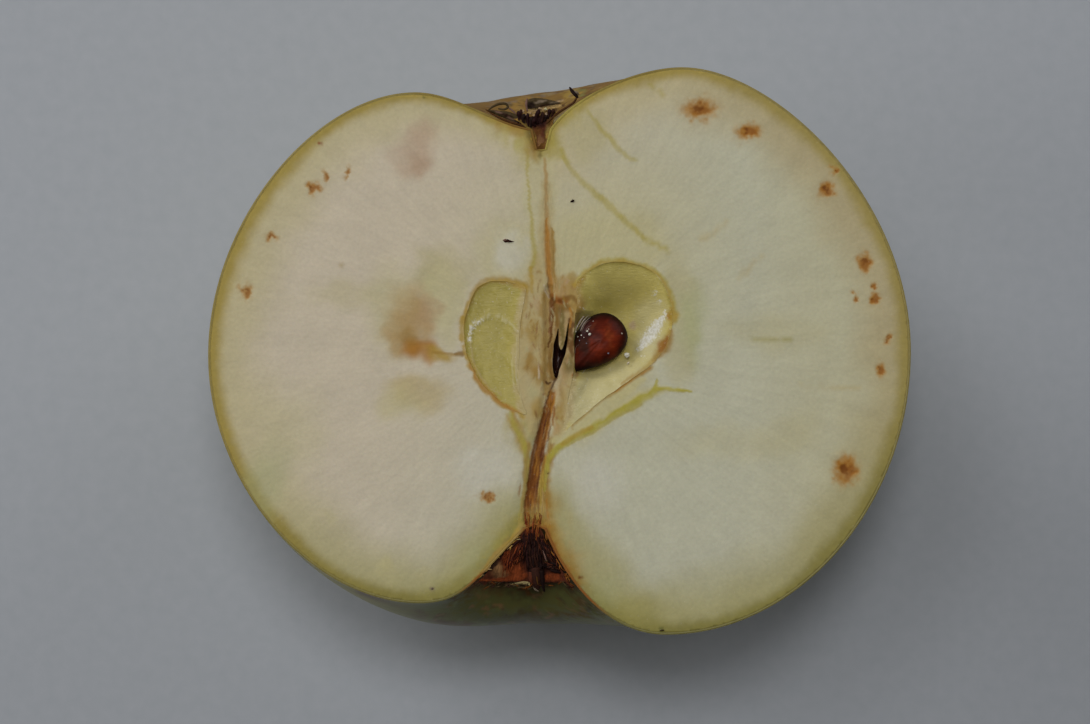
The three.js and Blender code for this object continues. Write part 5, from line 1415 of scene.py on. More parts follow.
def sheet(grid, thick):
    """A closed sheet: a grid, a copy `thick` mm below it that nearly meets it at the edges, and walls."""
    nu, nv = grid.shape[:2]
    normal = np.cross(np.gradient(grid, axis=0), np.gradient(grid, axis=1))
    normal /= np.maximum(np.linalg.norm(normal, axis=2, keepdims=True), 1e-9)
    normal *= np.sign(normal[..., 2].mean())
    u, v = np.linspace(0, np.pi, nu)[:, None, None], np.linspace(0, np.pi, nv)[None, :, None]
    lower = grid - normal * thick * (0.25 + 0.75 * np.sqrt(np.sin(u) * np.sin(v)))
    flip = np.cross(grid[1, 0] - grid[0, 0], grid[0, 1] - grid[0, 0]) @ normal[0, 0] < 0
    at = lambda i, j: i * nv + j
    net = [[at(i, j), at(i + 1, j), at(i + 1, j + 1), at(i, j + 1)] for i in range(nu - 1)
           for j in range(nv - 1)]
    net += [[k + nu * nv for k in face[::-1]] for face in net]
    border = [at(i, 0) for i in range(nu)] + [at(nu - 1, j) for j in range(1, nv)]
    border += [at(i, nv - 1) for i in range(nu - 2, -1, -1)] + [at(0, j) for j in range(nv - 2, 0, -1)]
    for a, b in zip(border, border[1:] + border[:1]):
        net.append([b, a, a + nu * nv, b + nu * nv])
    net = [face[::-1] for face in net] if flip else net
    return np.vstack([grid.reshape(-1, 3), lower.reshape(-1, 3)]), net


def lump(place, size, turn, seed, rough=0.25, rings=9, sides=14):
    """A closed ball of `size` half-lengths, turned about the vertical and pushed about by random hills."""
    phi = np.linspace(0, np.pi, rings + 2)[1:-1]
    theta = np.linspace(0, 2 * np.pi, sides, endpoint=False)
    ball = np.stack([np.outer(np.sin(phi), np.cos(theta)), np.outer(np.sin(phi), np.sin(theta)),
                     np.outer(np.cos(phi), np.ones(sides))], -1).reshape(-1, 3)
    ball = np.vstack([ball, [[0, 0, 1], [0, 0, -1]]])
    push = 1 + rough * mottle(ball[:, :2] * 1.3 + 0.7 * ball[:, 2:], 0.7, seed, 2)
    ball = ball * push[:, None] * np.array(size)
    c, s = math.cos(math.radians(turn)), math.sin(math.radians(turn))
    ball = ball @ np.array([[c, s, 0], [-s, c, 0], [0, 0, 1]]) + np.array(place)
    net = []
    for k in range(sides):
        after = (k + 1) % sides
        net += [[i * sides + k, (i + 1) * sides + k, (i + 1) * sides + after, i * sides + after]
                for i in range(rings - 1)]
        net += [[rings * sides, k, after]]
        net += [[rings * sides + 1, (rings - 1) * sides + after, (rings - 1) * sides + k]]
    return ball, net


def gathered(parts):
    """Join (points, faces, tint) parts into one mesh. A tint may be one colour, or one for each point."""
    all_points, all_faces, all_tints, first = [], [], [], 0
    for part_points, part_faces, part_tint in parts:
        all_points.append(part_points)
        all_faces += [[k + first for k in face] for face in part_faces]
        rgb = rgb_of(part_tint) if isinstance(part_tint, str) else np.asarray(part_tint)
        all_tints.append(np.broadcast_to(rgb, (len(part_points), 3)))
        first += len(part_points)
    return np.vstack(all_points), all_faces, np.vstack(all_tints)


def between(left, right, across, along):
    """A grid of x, y between two smooth edges, `across` columns by `along` rows."""
    edges = []
    for side in (left, right):
        curve = through(side, 12)
        run = np.concatenate([[0], np.cumsum(np.linalg.norm(np.diff(curve, axis=0), axis=1))])
        even = np.linspace(0, run[-1], along)
        edges.append(np.stack([np.interp(even, run, curve[:, k]) for k in range(2)], 1))
    share = np.linspace(0, 1, across)[:, None, None]
    return edges[0][None] * (1 - share) + edges[1][None] * share


print("a strand of 3 stations has", len(strand([(0, 0, 0, 1), (1, 0, 0, 1), (2, 0, 0, 1)])[1]), "faces")

# %% [markdown]
# ## The pip
# The pip lies in the right chamber with its point under the torn wall, so its left side is cut off by a
# straight edge. It is a cushion made from its outline: rings that shrink to the middle while they rise along
# an arch. Its coat is mahogany and redder where it bulges. Round the rim it is painted nearly black: painted
# shade where the coat turns away from the light.

# %% Pip coat
PIP_OUTLINE = [
    (0.85, -1.7), (0.9, -0.8), (1.1, 0.2), (1.45, 1.2), (1.95, 2.2), (2.7, 3.1), (3.7, 3.68), (4.8, 3.84),
    (5.85, 3.42), (6.65, 2.55), (7.02, 1.5), (6.8, 0.45), (6.0, -0.62), (4.8, -1.33), (3.5, -1.84),
    (2.4, -2.1), (1.5, -2.3), (1.0, -2.25),
]
PIP_MIDDLE, PIP_HALF_THICK, PIP_AXIS_DEPTH, PIP_TURN, PIP_TILT = np.array([4.3, 0.95]), 1.35, 1.3, 48, 6
PIP_MARKS = [
    ("pip brown", 0.9, 0, 0, (4.6, 0.8, 2.9, 3.0, 0)), ("pip red", 0.85, 0, 0, (5.2, 0.9, 1.25, 2.5, 10)),
    ("red cork", 0.4, 0, 0, (5.15, 1.3, 0.5, 1.7, 12)), ("pip red", 0.7, 0, 0, (3.7, 0.1, 1.2, 1.5, 30)),
    ("cocoa", 0.85, 0.1, 0, (2.4, 0.4, 0.9, 1.7, 0)), ("pip black", 0.8, 0.1, 0, (2.5, 1.6, 0.9, 0.7, 30)),
    ("pip brown", 0.8, 0.1, 0, (2.2, -0.9, 0.7, 0.8, 0)),
    ("dark cork", 0.6, 0.1, 0.03, (3.35, 2.3, 0.3, 0.7, -35)),
    ("cocoa", 0.7, 0.1, 0, (3.2, -1.4, 1.4, 0.4, -5)), ("film", 0.4, 0, 0, (2.3, 2.5, 0.3, 0.8, -40)),
    ("pip red", 0.5, 0, 0, (1.75, -0.6, 0.25, 1.3, 0)),
]
outline = through(PIP_OUTLINE, 8, closed=True)
area = np.sum(outline[:, 0] * np.roll(outline[:, 1], -1) - np.roll(outline[:, 0], -1) * outline[:, 1])
outline = outline if area > 0 else outline[::-1]
UPPER_RINGS, LOWER_RINGS = 30, 17
ring_shares = np.concatenate([np.sin(np.linspace(0.07, 0.5 * np.pi, UPPER_RINGS)),
                              np.sin(np.linspace(0.5 * np.pi, 0.1, LOWER_RINGS + 1))[1:]])
signs = np.concatenate([np.ones(UPPER_RINGS), -np.ones(LOWER_RINGS)])
axis = np.array([math.cos(math.radians(PIP_TURN)), math.sin(math.radians(PIP_TURN))])
pip_points, pip_faces = [], []
for share, sign in zip(ring_shares, signs):
    ring = PIP_MIDDLE + (outline - PIP_MIDDLE) * share
    pointed = np.clip(-((outline - PIP_MIDDLE) @ axis) / 4.0, 0, 1) ** 2
    arch = np.clip(1 - share ** (2 - 0.7 * pointed), 0, 1) ** (0.5 + 0.3 * pointed)
    middle_z = CUT_Z - PIP_AXIS_DEPTH - math.tan(math.radians(PIP_TILT)) * ((ring - PIP_MIDDLE) @ axis)
    pip_points.append(np.column_stack([ring, middle_z + sign * PIP_HALF_THICK * arch]))
loop_size = len(outline)
pip_points = np.vstack(pip_points + [[[*PIP_MIDDLE, CUT_Z - PIP_AXIS_DEPTH + PIP_HALF_THICK]],
                                     [[*PIP_MIDDLE, CUT_Z - PIP_AXIS_DEPTH - PIP_HALF_THICK]]])
ring_count = len(ring_shares)
for k in range(loop_size):
    after = (k + 1) % loop_size
    pip_faces += [[i * loop_size + k, (i + 1) * loop_size + k, (i + 1) * loop_size + after,
                   i * loop_size + after]
                  for i in range(ring_count - 1)]
    pip_faces += [[ring_count * loop_size, k, after],
                  [ring_count * loop_size + 1, (ring_count - 1) * loop_size + after,
                   (ring_count - 1) * loop_size + k]]
reach = np.concatenate([np.repeat(ring_shares, loop_size), [0, 0]])
# painted shade: the coat is blended toward soot in its outer rings, where it turns away from the light
pip_tint = blended(painted("pip brown", len(pip_points)), "soot", smoothstep(reach, 0.62, 0.97))
pip_rise = np.zeros(len(pip_points))
lay(pip_points[:, :2], pip_tint, pip_rise, PIP_MARKS, 0.25, 0.7, 95)
along = (pip_points[:, :2] - PIP_MIDDLE) @ axis
aside = (pip_points[:, :2] - PIP_MIDDLE) @ np.array([-axis[1], axis[0]])
ribs = mottle(np.stack([along * 0.18, aside], 1), 0.42, 96, 2) * (1 - reach**4)
pip_points[:, 2] += pip_rise + 0.025 * ribs
pip_tint *= (1 + 0.22 * mottle(np.stack([along * 0.3, aside], 1), 0.3, 97, 2))[:, None]

# %% [markdown]
# The coat of a fresh pip is a hard shell like polished wood with a thin dull layer of dried juice, which
# keeps its reflections soft and dim. Cellulose has an IOR near 1.5, but the dull layer calls for a weak
# one.

# %% Pip material
pip_finish, tree, shader, here = material("dry_mahogany_seed_coat")
turned = add(tree, "Mapping", {"Vector": here, "Rotation": (0, 0, math.radians(-PIP_TURN)),
                               "Scale": (0.25, 1.6, 1.0)})
streaks = noise_of(tree, turned.outputs["Vector"], 2.2, 4.0, 0.65)
grained(tree, shader, streaks, 0.75, 1.25, 0.35, 0.05)
shader.inputs["Roughness"].default_value = 0.36
shader.inputs["IOR"].default_value = 1.5
shader.inputs["Specular IOR Level"].default_value = 0.08
piece("pip_coat", pip_points, pip_faces, [pip_finish], "pip", "pip", tint=pip_tint)

# %% [markdown]
# A wet film of torn parchment clings to the pip's upper left shoulder, in fine folds with beads of juice. The
# beads are pale and bluish: painted glints.

# %% Film and beads
film_finish, tree, shader, here = material("wet_parchment_film")
tinted = add(tree, "Attribute", attribute_name="tint").outputs["Color"]
tree.links.new(tinted, shader.inputs["Base Color"])
shader.inputs["Roughness"].default_value = 0.18
shader.inputs["IOR"].default_value = 1.38


def pip_top(x, y):
    """Height of the pip's upper side near x, y."""
    upper = pip_points[:UPPER_RINGS * loop_size]
    return upper[np.argmin(np.hypot(upper[:, 0] - x, upper[:, 1] - y)), 2]


FOLDS = [  # start, end, half-width, tint
    ((1.75, 2.15), (2.85, 3.75), 0.07, "film"), ((1.95, 2.0), (3.05, 3.6), 0.055, "film"),
    ((2.15, 1.9), (3.2, 3.35), 0.05, "film"), ((2.35, 1.95), (3.2, 3.1), 0.035, "film shade"),
    ((1.65, 1.75), (2.2, 2.9), 0.06, "film"), ((2.6, 1.6), (3.3, 2.5), 0.03, "film shade"),
    ((1.6, -0.5), (1.95, 0.5), 0.035, "film shade"),
]
# the beads' pale and bluish tints are painted glints
BEADS_WITH_PAINTED_GLINTS = [
    (1.62, 1.88, 0.13, "wet gleam"), (2.85, 1.85, 0.11, "wet gleam"), (3.1, 1.52, 0.15, "pale flesh"),
    (2.25, 1.45, 0.08, "pale flesh"), (2.5, 1.2, 0.07, "film"), (1.9, 1.3, 0.07, "pale flesh"),
    (3.0, 2.05, 0.08, "film"), (6.4, 1.65, 0.09, "film"), (5.0, -0.42, 0.08, "slate"),
    (2.05, 0.9, 0.06, "slate"), (2.75, 0.6, 0.05, "slate"), (3.45, 2.9, 0.06, "film"),
]
parts = []
for (x0, y0), (x1, y1), width, tint_name in FOLDS:
    bow = 0.12
    way = [(x0 + (x1 - x0) * t - bow * math.sin(math.pi * t),
            y0 + (y1 - y0) * t + bow * math.sin(math.pi * t)) for t in (0, 0.33, 0.66, 1)]
    sizes = (0.4 * width, width, width, 0.3 * width)
    stations = [(x, y, pip_top(x, y) + 0.02, size) for (x, y), size in zip(way, sizes)]
    parts.append((*strand(stations, 6, 5, 0.7), tint_name))
for k, (x, y, size, tint_name) in enumerate(BEADS_WITH_PAINTED_GLINTS):
    parts.append((*lump((x, y, pip_top(x, y)), (size, size, 0.7 * size), 0, 200 + k, 0.2, 7, 10), tint_name))
# a pale droplet on the chamber floor, coloured as a painted gleam
parts.append((*lump((6.95, -0.55, CUT_Z - 1.15), (0.26, 0.22, 0.2), 20, 230, 0.5), "wet gleam"))
parts.append((*lump((7.05, -1.35, CUT_Z - 0.9), (0.16, 0.1, 0.08), 40, 231, 0.5), "warm cream"))
film_points, film_faces, film_tint = gathered(parts)
piece("pip_film", film_points, film_faces, [film_finish], "pip", None, tint=film_tint)

# %% [markdown]
# ## The stalk's foot: torn cork
# The knife passed beside the stalk, so what is left of it is a dark tuft of corky fibres at the head of the
# pit, with a short stub, a reddish wall on the left and a pale flap of skin along the lower edge. Hundreds of
# fine strands, drawn from seeded random numbers round a few chosen streams, give the torn look.

# %% Cork and bark material
cork_finish, tree, shader, here = material("dry_torn_cork")
fibre_way = add(tree, "Mapping", {"Vector": here, "Scale": (4.0, 0.8, 4.0)})
fibre = noise_of(tree, fibre_way.outputs["Vector"], 1.6, 5.0, 0.7)
grained(tree, shader, fibre, 0.55, 1.4, 0.6, 0.12)
shader.inputs["Roughness"].default_value = 0.78
shader.inputs["Specular IOR Level"].default_value = 0.12

# %% The wall of cork behind the fibres
FOOT_LEFT = [(-3.85, -18.55), (-4.2, -19.45), (-4.9, -19.7), (-5.6, -20.4), (-6.3, -21.05), (-6.9, -21.75),
             (-7.2, -22.5), (-7.7, -23.2), (-8.3, -23.75)]
FOOT_RIGHT = [(-1.9, -18.4), (-1.6, -19.1), (-1.35, -20.0), (-0.95, -20.9), (-0.5, -21.6), (0.05, -22.3),
              (0.4, -22.9), (0.75, -23.4), (1.1, -23.9)]
FOOT_MARKS = [
    ("dark cork", 1.0, 1.0, 0, (-3.2, -21.4, 9.0, 6.0, 0)),
    ("red cork", 0.9, 0.2, 0.1, (-4.9, -22.4, 1.7, 1.2, 5)),
    ("red cork", 0.7, 0.1, 0.08, (-4.6, -22.9, 1.4, 0.6, 0)),
    ("pale cork", 0.95, 0, 0.12, (-6.35, -22.5, 1.0, 1.3, 10)),
    ("red cork", 0.85, 0.2, 0.08, [(-5.5, -20.4, 0.2), (-5.55, -21.2, 0.3), (-5.6, -22.0, 0.2)]),
    ("pale cork", 0.7, 0, 0.1, (-5.75, -23.05, 0.9, 0.5, 0)),
    ("red cork", 0.6, 0.1, 0, (-5.2, -20.8, 0.5, 0.7, 30)),
    ("pip black", 0.95, 0.35, -0.15, (-2.7, -20.8, 1.9, 2.6, 0)),
    ("soot", 0.9, 0.3, -0.1, (-2.2, -22.3, 1.5, 1.4, 0)),
    ("soot", 0.95, 0.3, -0.05, [(-5.4, -20.45, 0.25), (-6.0, -21.0, 0.42), (-6.6, -21.7, 0.42),
     (-7.0, -22.4, 0.3)]), ("red cork", 0.7, 0, 0.05, (-4.1, -22.5, 0.4, 0.8, 0)),
    ("red cork", 0.95, 0.35, 0.1, [(-8.2, -23.75, 0.2), (-7.2, -23.65, 0.3), (-6.2, -23.6, 0.35),
     (-5, -23.5, 0.35), (-3.7, -23.3, 0.3)]),
    ("red cork", 0.8, 0.2, 0.05, [(-7.9, -23.8, 0.15), (-6.4, -23.75, 0.2), (-4.6, -23.6, 0.2)]),
    ("red cork", 0.95, 0.3, 0.1, (-0.75, -23.35, 1.2, 0.65, 10)),
    ("soot", 0.9, 0.3, 0.1, (-0.6, -22.5, 0.8, 0.5, -10)),
    ("olive russet", 0.9, 0.1, 0.1, (-1.4, -21.2, 0.3, 0.8, 0)),
    ("pip brown", 0.7, 0.1, 0, (-3.6, -20.2, 0.35, 1.2, 0)),
    ("dark cork", 0.6, 0.1, 0, (-2.0, -19.9, 0.25, 1.0, 0)),
]
ACROSS, ALONG = 64, 60
foot_xy = between(FOOT_LEFT, FOOT_RIGHT, ACROSS, ALONG)
u, v = np.linspace(0, 1, ACROSS)[:, None], np.linspace(0, 1, ALONG)[None, :]
foot_flat = foot_xy.reshape(-1, 2)
foot_tint, foot_rise = painted("dark cork", len(foot_flat)), np.zeros(len(foot_flat))
lay(foot_flat, foot_tint, foot_rise, FOOT_MARKS, 0.16, 0.5, 101, 0.2)
ridges = mottle(np.stack([foot_flat[:, 0], 0.22 * foot_flat[:, 1]], 1), 0.34, 103, 3)
foot_tint *= (1 + 0.35 * ridges)[:, None].clip(0.3, 2)
sag = 0.1 + 1.5 * v**1.5 * np.sin(np.pi * np.clip(u, 0.02, 0.98)) ** 0.7 + 0.25 * v
foot_z = CUT_Z - sag.reshape(-1) + foot_rise
across_share = np.broadcast_to(u, sag.shape).reshape(-1)
foot_z += 0.16 * ridges * np.minimum(1, 4 * across_share * (1 - across_share))
foot_grid = np.column_stack([foot_flat, foot_z]).reshape(ACROSS, ALONG, 3)
wall_points, wall_faces = sheet(foot_grid, 0.5)
# painted shade: the lower copy of the cork sheet is painted at 0.6 of its colour, shade under the sheet
wall_tint = np.vstack([foot_tint, foot_tint * 0.6])
piece("cork_wall", wall_points, wall_faces, [cork_finish], "stalk_cork", "stalk_foot", tint=wall_tint)

# %% Streams of fibres
STREAMS = [  # start, end, spread at both, how many, thickest, depth at both, tints
    ((-2.95, -18.9), (-2.5, -22.4), 0.95, 1.0, 70, 0.11, 0.1, 0.5, ("cocoa", "soot", "cocoa", "pip black")),
    ((-3.4, -19.2), (-4.2, -21.8), 0.5, 0.8, 36, 0.1, 0.15, 0.7, ("dark cork", "cocoa", "dark cork",
     "soot")),
    ((-2.0, -19.3), (-1.2, -21.8), 0.3, 0.5, 26, 0.1, 0.15, 0.5, ("pip black", "cocoa", "dark cork")),
    ((-2.6, -21.2), (-2.3, -24.0), 0.7, 0.7, 44, 0.12, 0.3, 1.0, ("soot", "cocoa", "dark cork", "soot")),
    ((-4.9, -20.7), (-5.4, -23.1), 0.5, 0.9, 26, 0.09, 0.5, 1.1, ("red cork", "dark cork", "red cork",
     "pip brown")),
    ((-1.75, -19.5), (-0.55, -21.9), 0.25, 0.55, 46, 0.1, 0.12, 0.45, ("pip black", "soot", "cocoa",
     "dark cork")),
    ((-3.9, -19.9), (-4.8, -22.0), 0.35, 0.7, 30, 0.1, 0.15, 0.6, ("pip brown", "pip black", "red cork",
     "dark cork")),
    ((-1.6, -22.0), (-0.1, -22.5), 0.25, 0.3, 22, 0.11, 0.25, 0.35, ("soot", "cocoa", "dark cork")),
    ((-2.7, -16.9), (-2.8, -19.4), 0.9, 1.0, 34, 0.07, 0.02, 0.12, ("red cork", "rust", "dark cork",
     "red cork")),
]
draw = np.random.default_rng(7)
parts = []
for (x0, y0), (x1, y1), spread0, spread1, many, thick, deep0, deep1, tints in STREAMS:
    for _ in range(many):
        a, b = draw.uniform(-1, 1, 2)
        b = 0.7 * a + 0.3 * b
        from_share, to_share = draw.uniform(-0.08, 0.35), draw.uniform(0.6, 1.1)
        size = thick * draw.uniform(0.35, 1.0)
        stations = []
        for t in np.linspace(from_share, to_share, 5):
            spread = spread0 + (spread1 - spread0) * t
            side = (a + (b - a) * t) * spread + 0.025 * draw.normal()
            along_x, along_y = x0 + (x1 - x0) * t, y0 + (y1 - y0) * t
            length = math.hypot(x1 - x0, y1 - y0)
            px, py = along_x + side * abs(y1 - y0) / length, along_y + side * abs(x1 - x0) / length * 0.8
            pz = CUT_Z - (deep0 + (deep1 - deep0) * np.clip(t, 0, 1))
            pz += 0.12 * draw.normal() + 0.1 * (1 - abs(a))
            way_along = np.clip((t - from_share) / (to_share - from_share), 0.08, 0.92)
            taper = 0.35 + 0.65 * math.sin(math.pi * way_along)
            stations.append((px, py, min(pz, CUT_Z + 0.12), size * taper))
        parts.append((*strand(stations, 5, 3), tints[draw.integers(len(tints))]))
fibre_points, fibre_faces, fibre_tint = gathered(parts)
piece("cork_fibres", fibre_points, fibre_faces, [cork_finish], "stalk_cork", "stalk_foot", tint=fibre_tint)

# %% Stub, flap and splinters
SPLINTERS = [  # stations of x, y, depth and radius, tint
    ([(-2.5, -22.4, 0.6, 0.5), (-2.35, -23.2, 0.75, 0.55), (-2.3, -23.9, 0.95, 0.42),
     (-2.2, -24.5, 1.2, 0.2)], "cocoa"),
    ([(-2.9, -22.8, 0.7, 0.25), (-2.85, -23.5, 0.85, 0.3), (-2.75, -24.1, 1.1, 0.15)], "dark cork"),
    ([(-1.9, -22.7, 0.5, 0.3), (-1.8, -23.5, 0.7, 0.3), (-1.7, -24.2, 0.9, 0.18),
     (-1.55, -24.8, 1.2, 0.08)], "soot"),
    ([(-2.7, -24.3, 1.0, 0.06), (-2.45, -24.6, 1.05, 0.1), (-2.15, -24.75, 1.15, 0.05)], "grey sepal"),
    ([(-2.35, -23.0, 0.25, 0.05), (-2.3, -23.6, 0.35, 0.07), (-2.2, -24.1, 0.6, 0.04)], "bark"),
    # painted highlight: this paler strand stands for a grey glint on the dark tuft
    ([(-1.7, -20.6, 0.1, 0.04), (-1.5, -21.2, 0.12, 0.08), (-1.35, -21.7, 0.25, 0.04)], "film shade"),
    ([(-0.9, -21.9, 0.1, 0.1), (-0.5, -22.0, 0.15, 0.16), (0.0, -22.25, 0.2, 0.1)], "soot"),
    ([(-0.9, -22.6, 0.3, 0.14), (-0.4, -22.7, 0.3, 0.2), (0.1, -22.9, 0.35, 0.08)], "soot"),
    ([(0.3, -23.1, 0.2, 0.08), (0.6, -23.6, 0.25, 0.14), (1.1, -24.3, 0.35, 0.06)], "dark cork"),
    ([(-4.0, -19.5, 0.05, 0.05), (-4.6, -20.0, 0.12, 0.1), (-5.3, -20.5, 0.2, 0.05)], "pip black"),
]
parts = [(*strand(in_model(stations), 10, 5), tint_name) for stations, tint_name in SPLINTERS]
FLANKS = [  # way along a torn edge, how many crumbs and shreds lie on it, their depth, tints
    ([(-4.1, -19.3), (-5.0, -19.95), (-6.2, -21.1), (-7.2, -22.2), (-8.3, -23.6)], 18, 0.08,
     ("light tissue", "ochre", "tan", "ochre")),
    ([(-1.5, -19.0), (-1.0, -20.3), (-0.3, -21.6), (0.5, -22.9), (1.5, -24.3)], 24, 0.08, ("rust", "burnt",
     "dark cork", "rust")),
    # painted shade: these fifty dark shreds along the lower edge stand for the shade in the gap under the
    # flap
    ([(-8.6, -24.05), (-6.8, -23.95), (-5.0, -24.15), (-3.0, -24.2), (-1.2, -24.1), (0.6, -24.05),
     (1.6, -24.6)], 50, 0.75, ("dusk", "dusk", "burnt", "cocoa")),
]
for way, many, deep, tints in FLANKS:
    route = through(way, 6)
    for _ in range(many):
        k = draw.integers(1, len(route) - 1)
        ahead = route[k + 1] - route[k - 1]
        ahead /= np.linalg.norm(ahead)
        aside_x, aside_y = -ahead[1], ahead[0]
        off, half, lean = draw.normal(0, 0.13), draw.uniform(0.12, 0.45), draw.normal(0, 0.12)
        stations = [(route[k][0] + s * half * ahead[0] + (off + s * lean) * aside_x,
                     route[k][1] + s * half * ahead[1] + (off + s * lean) * aside_y,
                     CUT_Z - deep + 0.03 * draw.normal(), size)
                    for s, size in ((-1, 0.03), (0, draw.uniform(0.04, 0.08)), (1, 0.02))]
        parts.append((*strand(stations, 5, 3), tints[draw.integers(len(tints))]))
flap_xy = between([(-5.2, -24.12), (-4.6, -23.95), (-4.0, -23.82), (-3.4, -23.78), (-3.05, -23.9)],
                  [(-5.1, -24.22), (-4.6, -24.2), (-4.0, -24.08), (-3.5, -24.08), (-3.0, -24.2)], 9, 26)
flap_flat = flap_xy.reshape(-1, 2)
flap_z = CUT_Z - 1.0 - 0.25 * np.linspace(0, 1, 9)[:, None]
flap_z = flap_z + 0.12 * mottle(flap_flat, 0.5, 110, 2).reshape(9, 26)
flap_grid = np.dstack([flap_xy, flap_z])
flap_rgb = painted("light tissue", 2 * len(flap_flat))
flap_rgb *= 1 + 0.15 * mottle(np.vstack([flap_flat] * 2), 0.4, 111, 2)[:, None]
parts.append((*sheet(flap_grid, 0.1), flap_rgb))
stub_points, stub_faces, stub_tint = gathered(parts)
piece("stalk_stub", stub_points, stub_faces, [cork_finish], "stalk_cork", "stalk_foot", tint=stub_tint)

# %% [markdown]
# ## The dried calyx
# What is left of the flower sits in the hollow at the other end: a brown cup on the short calyx tube, a row
# of withered stamens like dark little fingers, and sepals folded back on the skin, grey-brown and brittle.
# The cup and the sepals are sheets, the stamens and folded edges are strands, and pollen bits are lumps.

# %% Sepal material
sepal_finish, tree, shader, here = material("withered_sepal")
vein = noise_of(tree, here, 2.6, 5.0, 0.7)
grained(tree, shader, vein, 0.65, 1.35, 0.6, 0.1)
shader.inputs["Roughness"].default_value = 0.7
shader.inputs["Specular IOR Level"].default_value = 0.15


def leaf(upper, lower, depth, bulge, across, along, thick, tint_name, leaf_marks, seed):
    """A sheet between two edges in the cut plane, `depth` mm below it and bulging up, with its own marks."""
    leaf_xy = between(upper, lower, across, along)
    flat_xy = leaf_xy.reshape(-1, 2)
    rgb, lifted = painted(tint_name, len(flat_xy)), np.zeros(len(flat_xy))
    lay(flat_xy, rgb, lifted, leaf_marks, 0.08, 0.4, seed)
    arch = np.sin(np.linspace(0, np.pi, across))[:, None] * np.ones((1, along))
    crease = 0.1 * mottle(flat_xy, 0.45, seed + 2, 3)
    leaf_z = CUT_Z - depth + (bulge * arch).reshape(-1) + lifted + crease
    leaf_points, leaf_faces = sheet(np.column_stack([flat_xy, leaf_z]).reshape(across, along, 3), thick)
    # painted shade: the lower copy of each leaf is painted at 0.6 of its colour, shade under the sheet
    return leaf_points, leaf_faces, np.vstack([rgb, 0.6 * rgb])


# %% Cup, sepals and stamens
CUP_MARKS = [
    ("ochre", 1.0, 1.0, 0, (-2.1, 22.0, 3.5, 3.5, 0)),
    ("olive russet", 0.85, 0.1, 0, (-2.0, 23.2, 2.8, 1.9, 0)),
    ("bark", 0.8, 0, 0, (-0.8, 23.5, 0.9, 0.9, 0)), ("vessel gold", 0.7, 0, 0, (-1.0, 21.2, 0.6, 1.2, 0)),
    ("vessel gold", 0.7, 0, 0, (-2.9, 21.2, 0.6, 1.2, 0)),
    ("dark cork", 0.98, 0.45, 0, [(-2.2, 23.6, 1.3), (-2.1, 22.9, 0.9), (-2.0, 22.2, 0.62),
     (-1.97, 21.4, 0.5), (-1.95, 20.65, 0.46)]), ("pip black", 0.95, 0.2, 0, (-2.6, 23.6, 1.9, 0.9, -5)),
    ("bark", 0.7, 0.1, 0, (-2.2, 22.5, 0.6, 0.7, 0)), ("pale cork", 0.85, 0, 0, (-1.95, 21.4, 0.5, 1.0, 8)),
    ("pale cork", 0.85, 0, 0, (-1.95, 21.05, 0.38, 0.6, 8)),
    ("cocoa", 0.95, 0.2, -0.1, [(-2.4, 20.65, 0.1), (-2.0, 20.55, 0.16), (-1.5, 20.7, 0.1)]),
    ("dark bark", 0.8, 0.1, 0, [(-3.0, 22.3, 0.1), (-2.5, 21.3, 0.15), (-2.25, 20.6, 0.1)]),
    ("dark bark", 0.8, 0.1, 0, [(-1.5, 22.6, 0.1), (-1.55, 21.4, 0.14), (-1.6, 20.6, 0.1)]),
]
parts = [
    leaf([(-4.7, 23.75), (-3.9, 23.3), (-3.35, 22.75), (-3.05, 22.0), (-2.75, 21.2), (-2.6, 20.25)],
     [(-0.1, 24.5), (-0.6, 23.8), (-0.72, 23.1), (-0.9, 22.3), (-1.15, 21.3), (-1.25, 20.25)], 0.07, -0.45,
     40, 60, 0.3, "ochre", CUP_MARKS, 121),
]
SEPAL_MARKS = [
    ("grey sepal", 0.8, 0.1, 0.06, (-2.0, 25.55, 0.9, 0.22, 8)),
    ("soot", 0.85, 0.2, -0.06, (-2.9, 25.2, 0.6, 0.5, 0)),
    ("cocoa", 0.8, 0.1, -0.05, (-1.6, 25.15, 1.2, 0.18, 12)),
    ("grey sepal", 0.7, 0.1, 0, (-0.6, 25.45, 0.7, 0.16, 5)),
    ("film shade", 0.75, 0.1, 0.06, (-6.2, 24.45, 0.7, 0.16, -15)),
    ("cocoa", 0.85, 0.1, -0.04, (-5.4, 24.1, 0.9, 0.2, -20)),
    ("film shade", 0.7, 0.1, 0.05, (-5.0, 23.75, 0.7, 0.15, -22)),
    ("pip black", 0.8, 0.1, -0.04, (-4.5, 23.6, 0.4, 0.3, 0)),
    ("pollen", 0.7, 0.1, 0.05, (-2.2, 24.7, 0.9, 0.2, 10)),
]
parts += [
    leaf([(-3.4, 25.75), (-2.7, 25.98), (-1.9, 25.95), (-1.0, 25.78), (0.1, 25.5)],
         [(-3.25, 24.85), (-2.4, 24.9), (-1.6, 25.1), (-0.7, 25.25), (0.1, 25.42)],
         0.5, 0.16, 18, 44, 0.2, "dusk", SEPAL_MARKS, 125),
    leaf([(-7.3, 24.7), (-6.3, 24.65), (-5.4, 24.55), (-4.6, 24.3), (-4.1, 23.95)],
         [(-7.2, 24.55), (-6.3, 24.1), (-5.5, 23.8), (-4.8, 23.55), (-4.1, 23.35)],
         0.3, 0.15, 14, 36, 0.2, "dusk", SEPAL_MARKS, 127),
    leaf([(-3.3, 24.9), (-2.4, 24.95), (-1.5, 25.15), (-0.6, 25.3), (0.2, 25.35)],
         [(-3.3, 24.35), (-2.3, 24.4), (-1.4, 24.6), (-0.5, 24.8), (0.3, 25.1)],
         0.9, 0.1, 8, 24, 0.2, "tan", SEPAL_MARKS[-1:], 129),
]
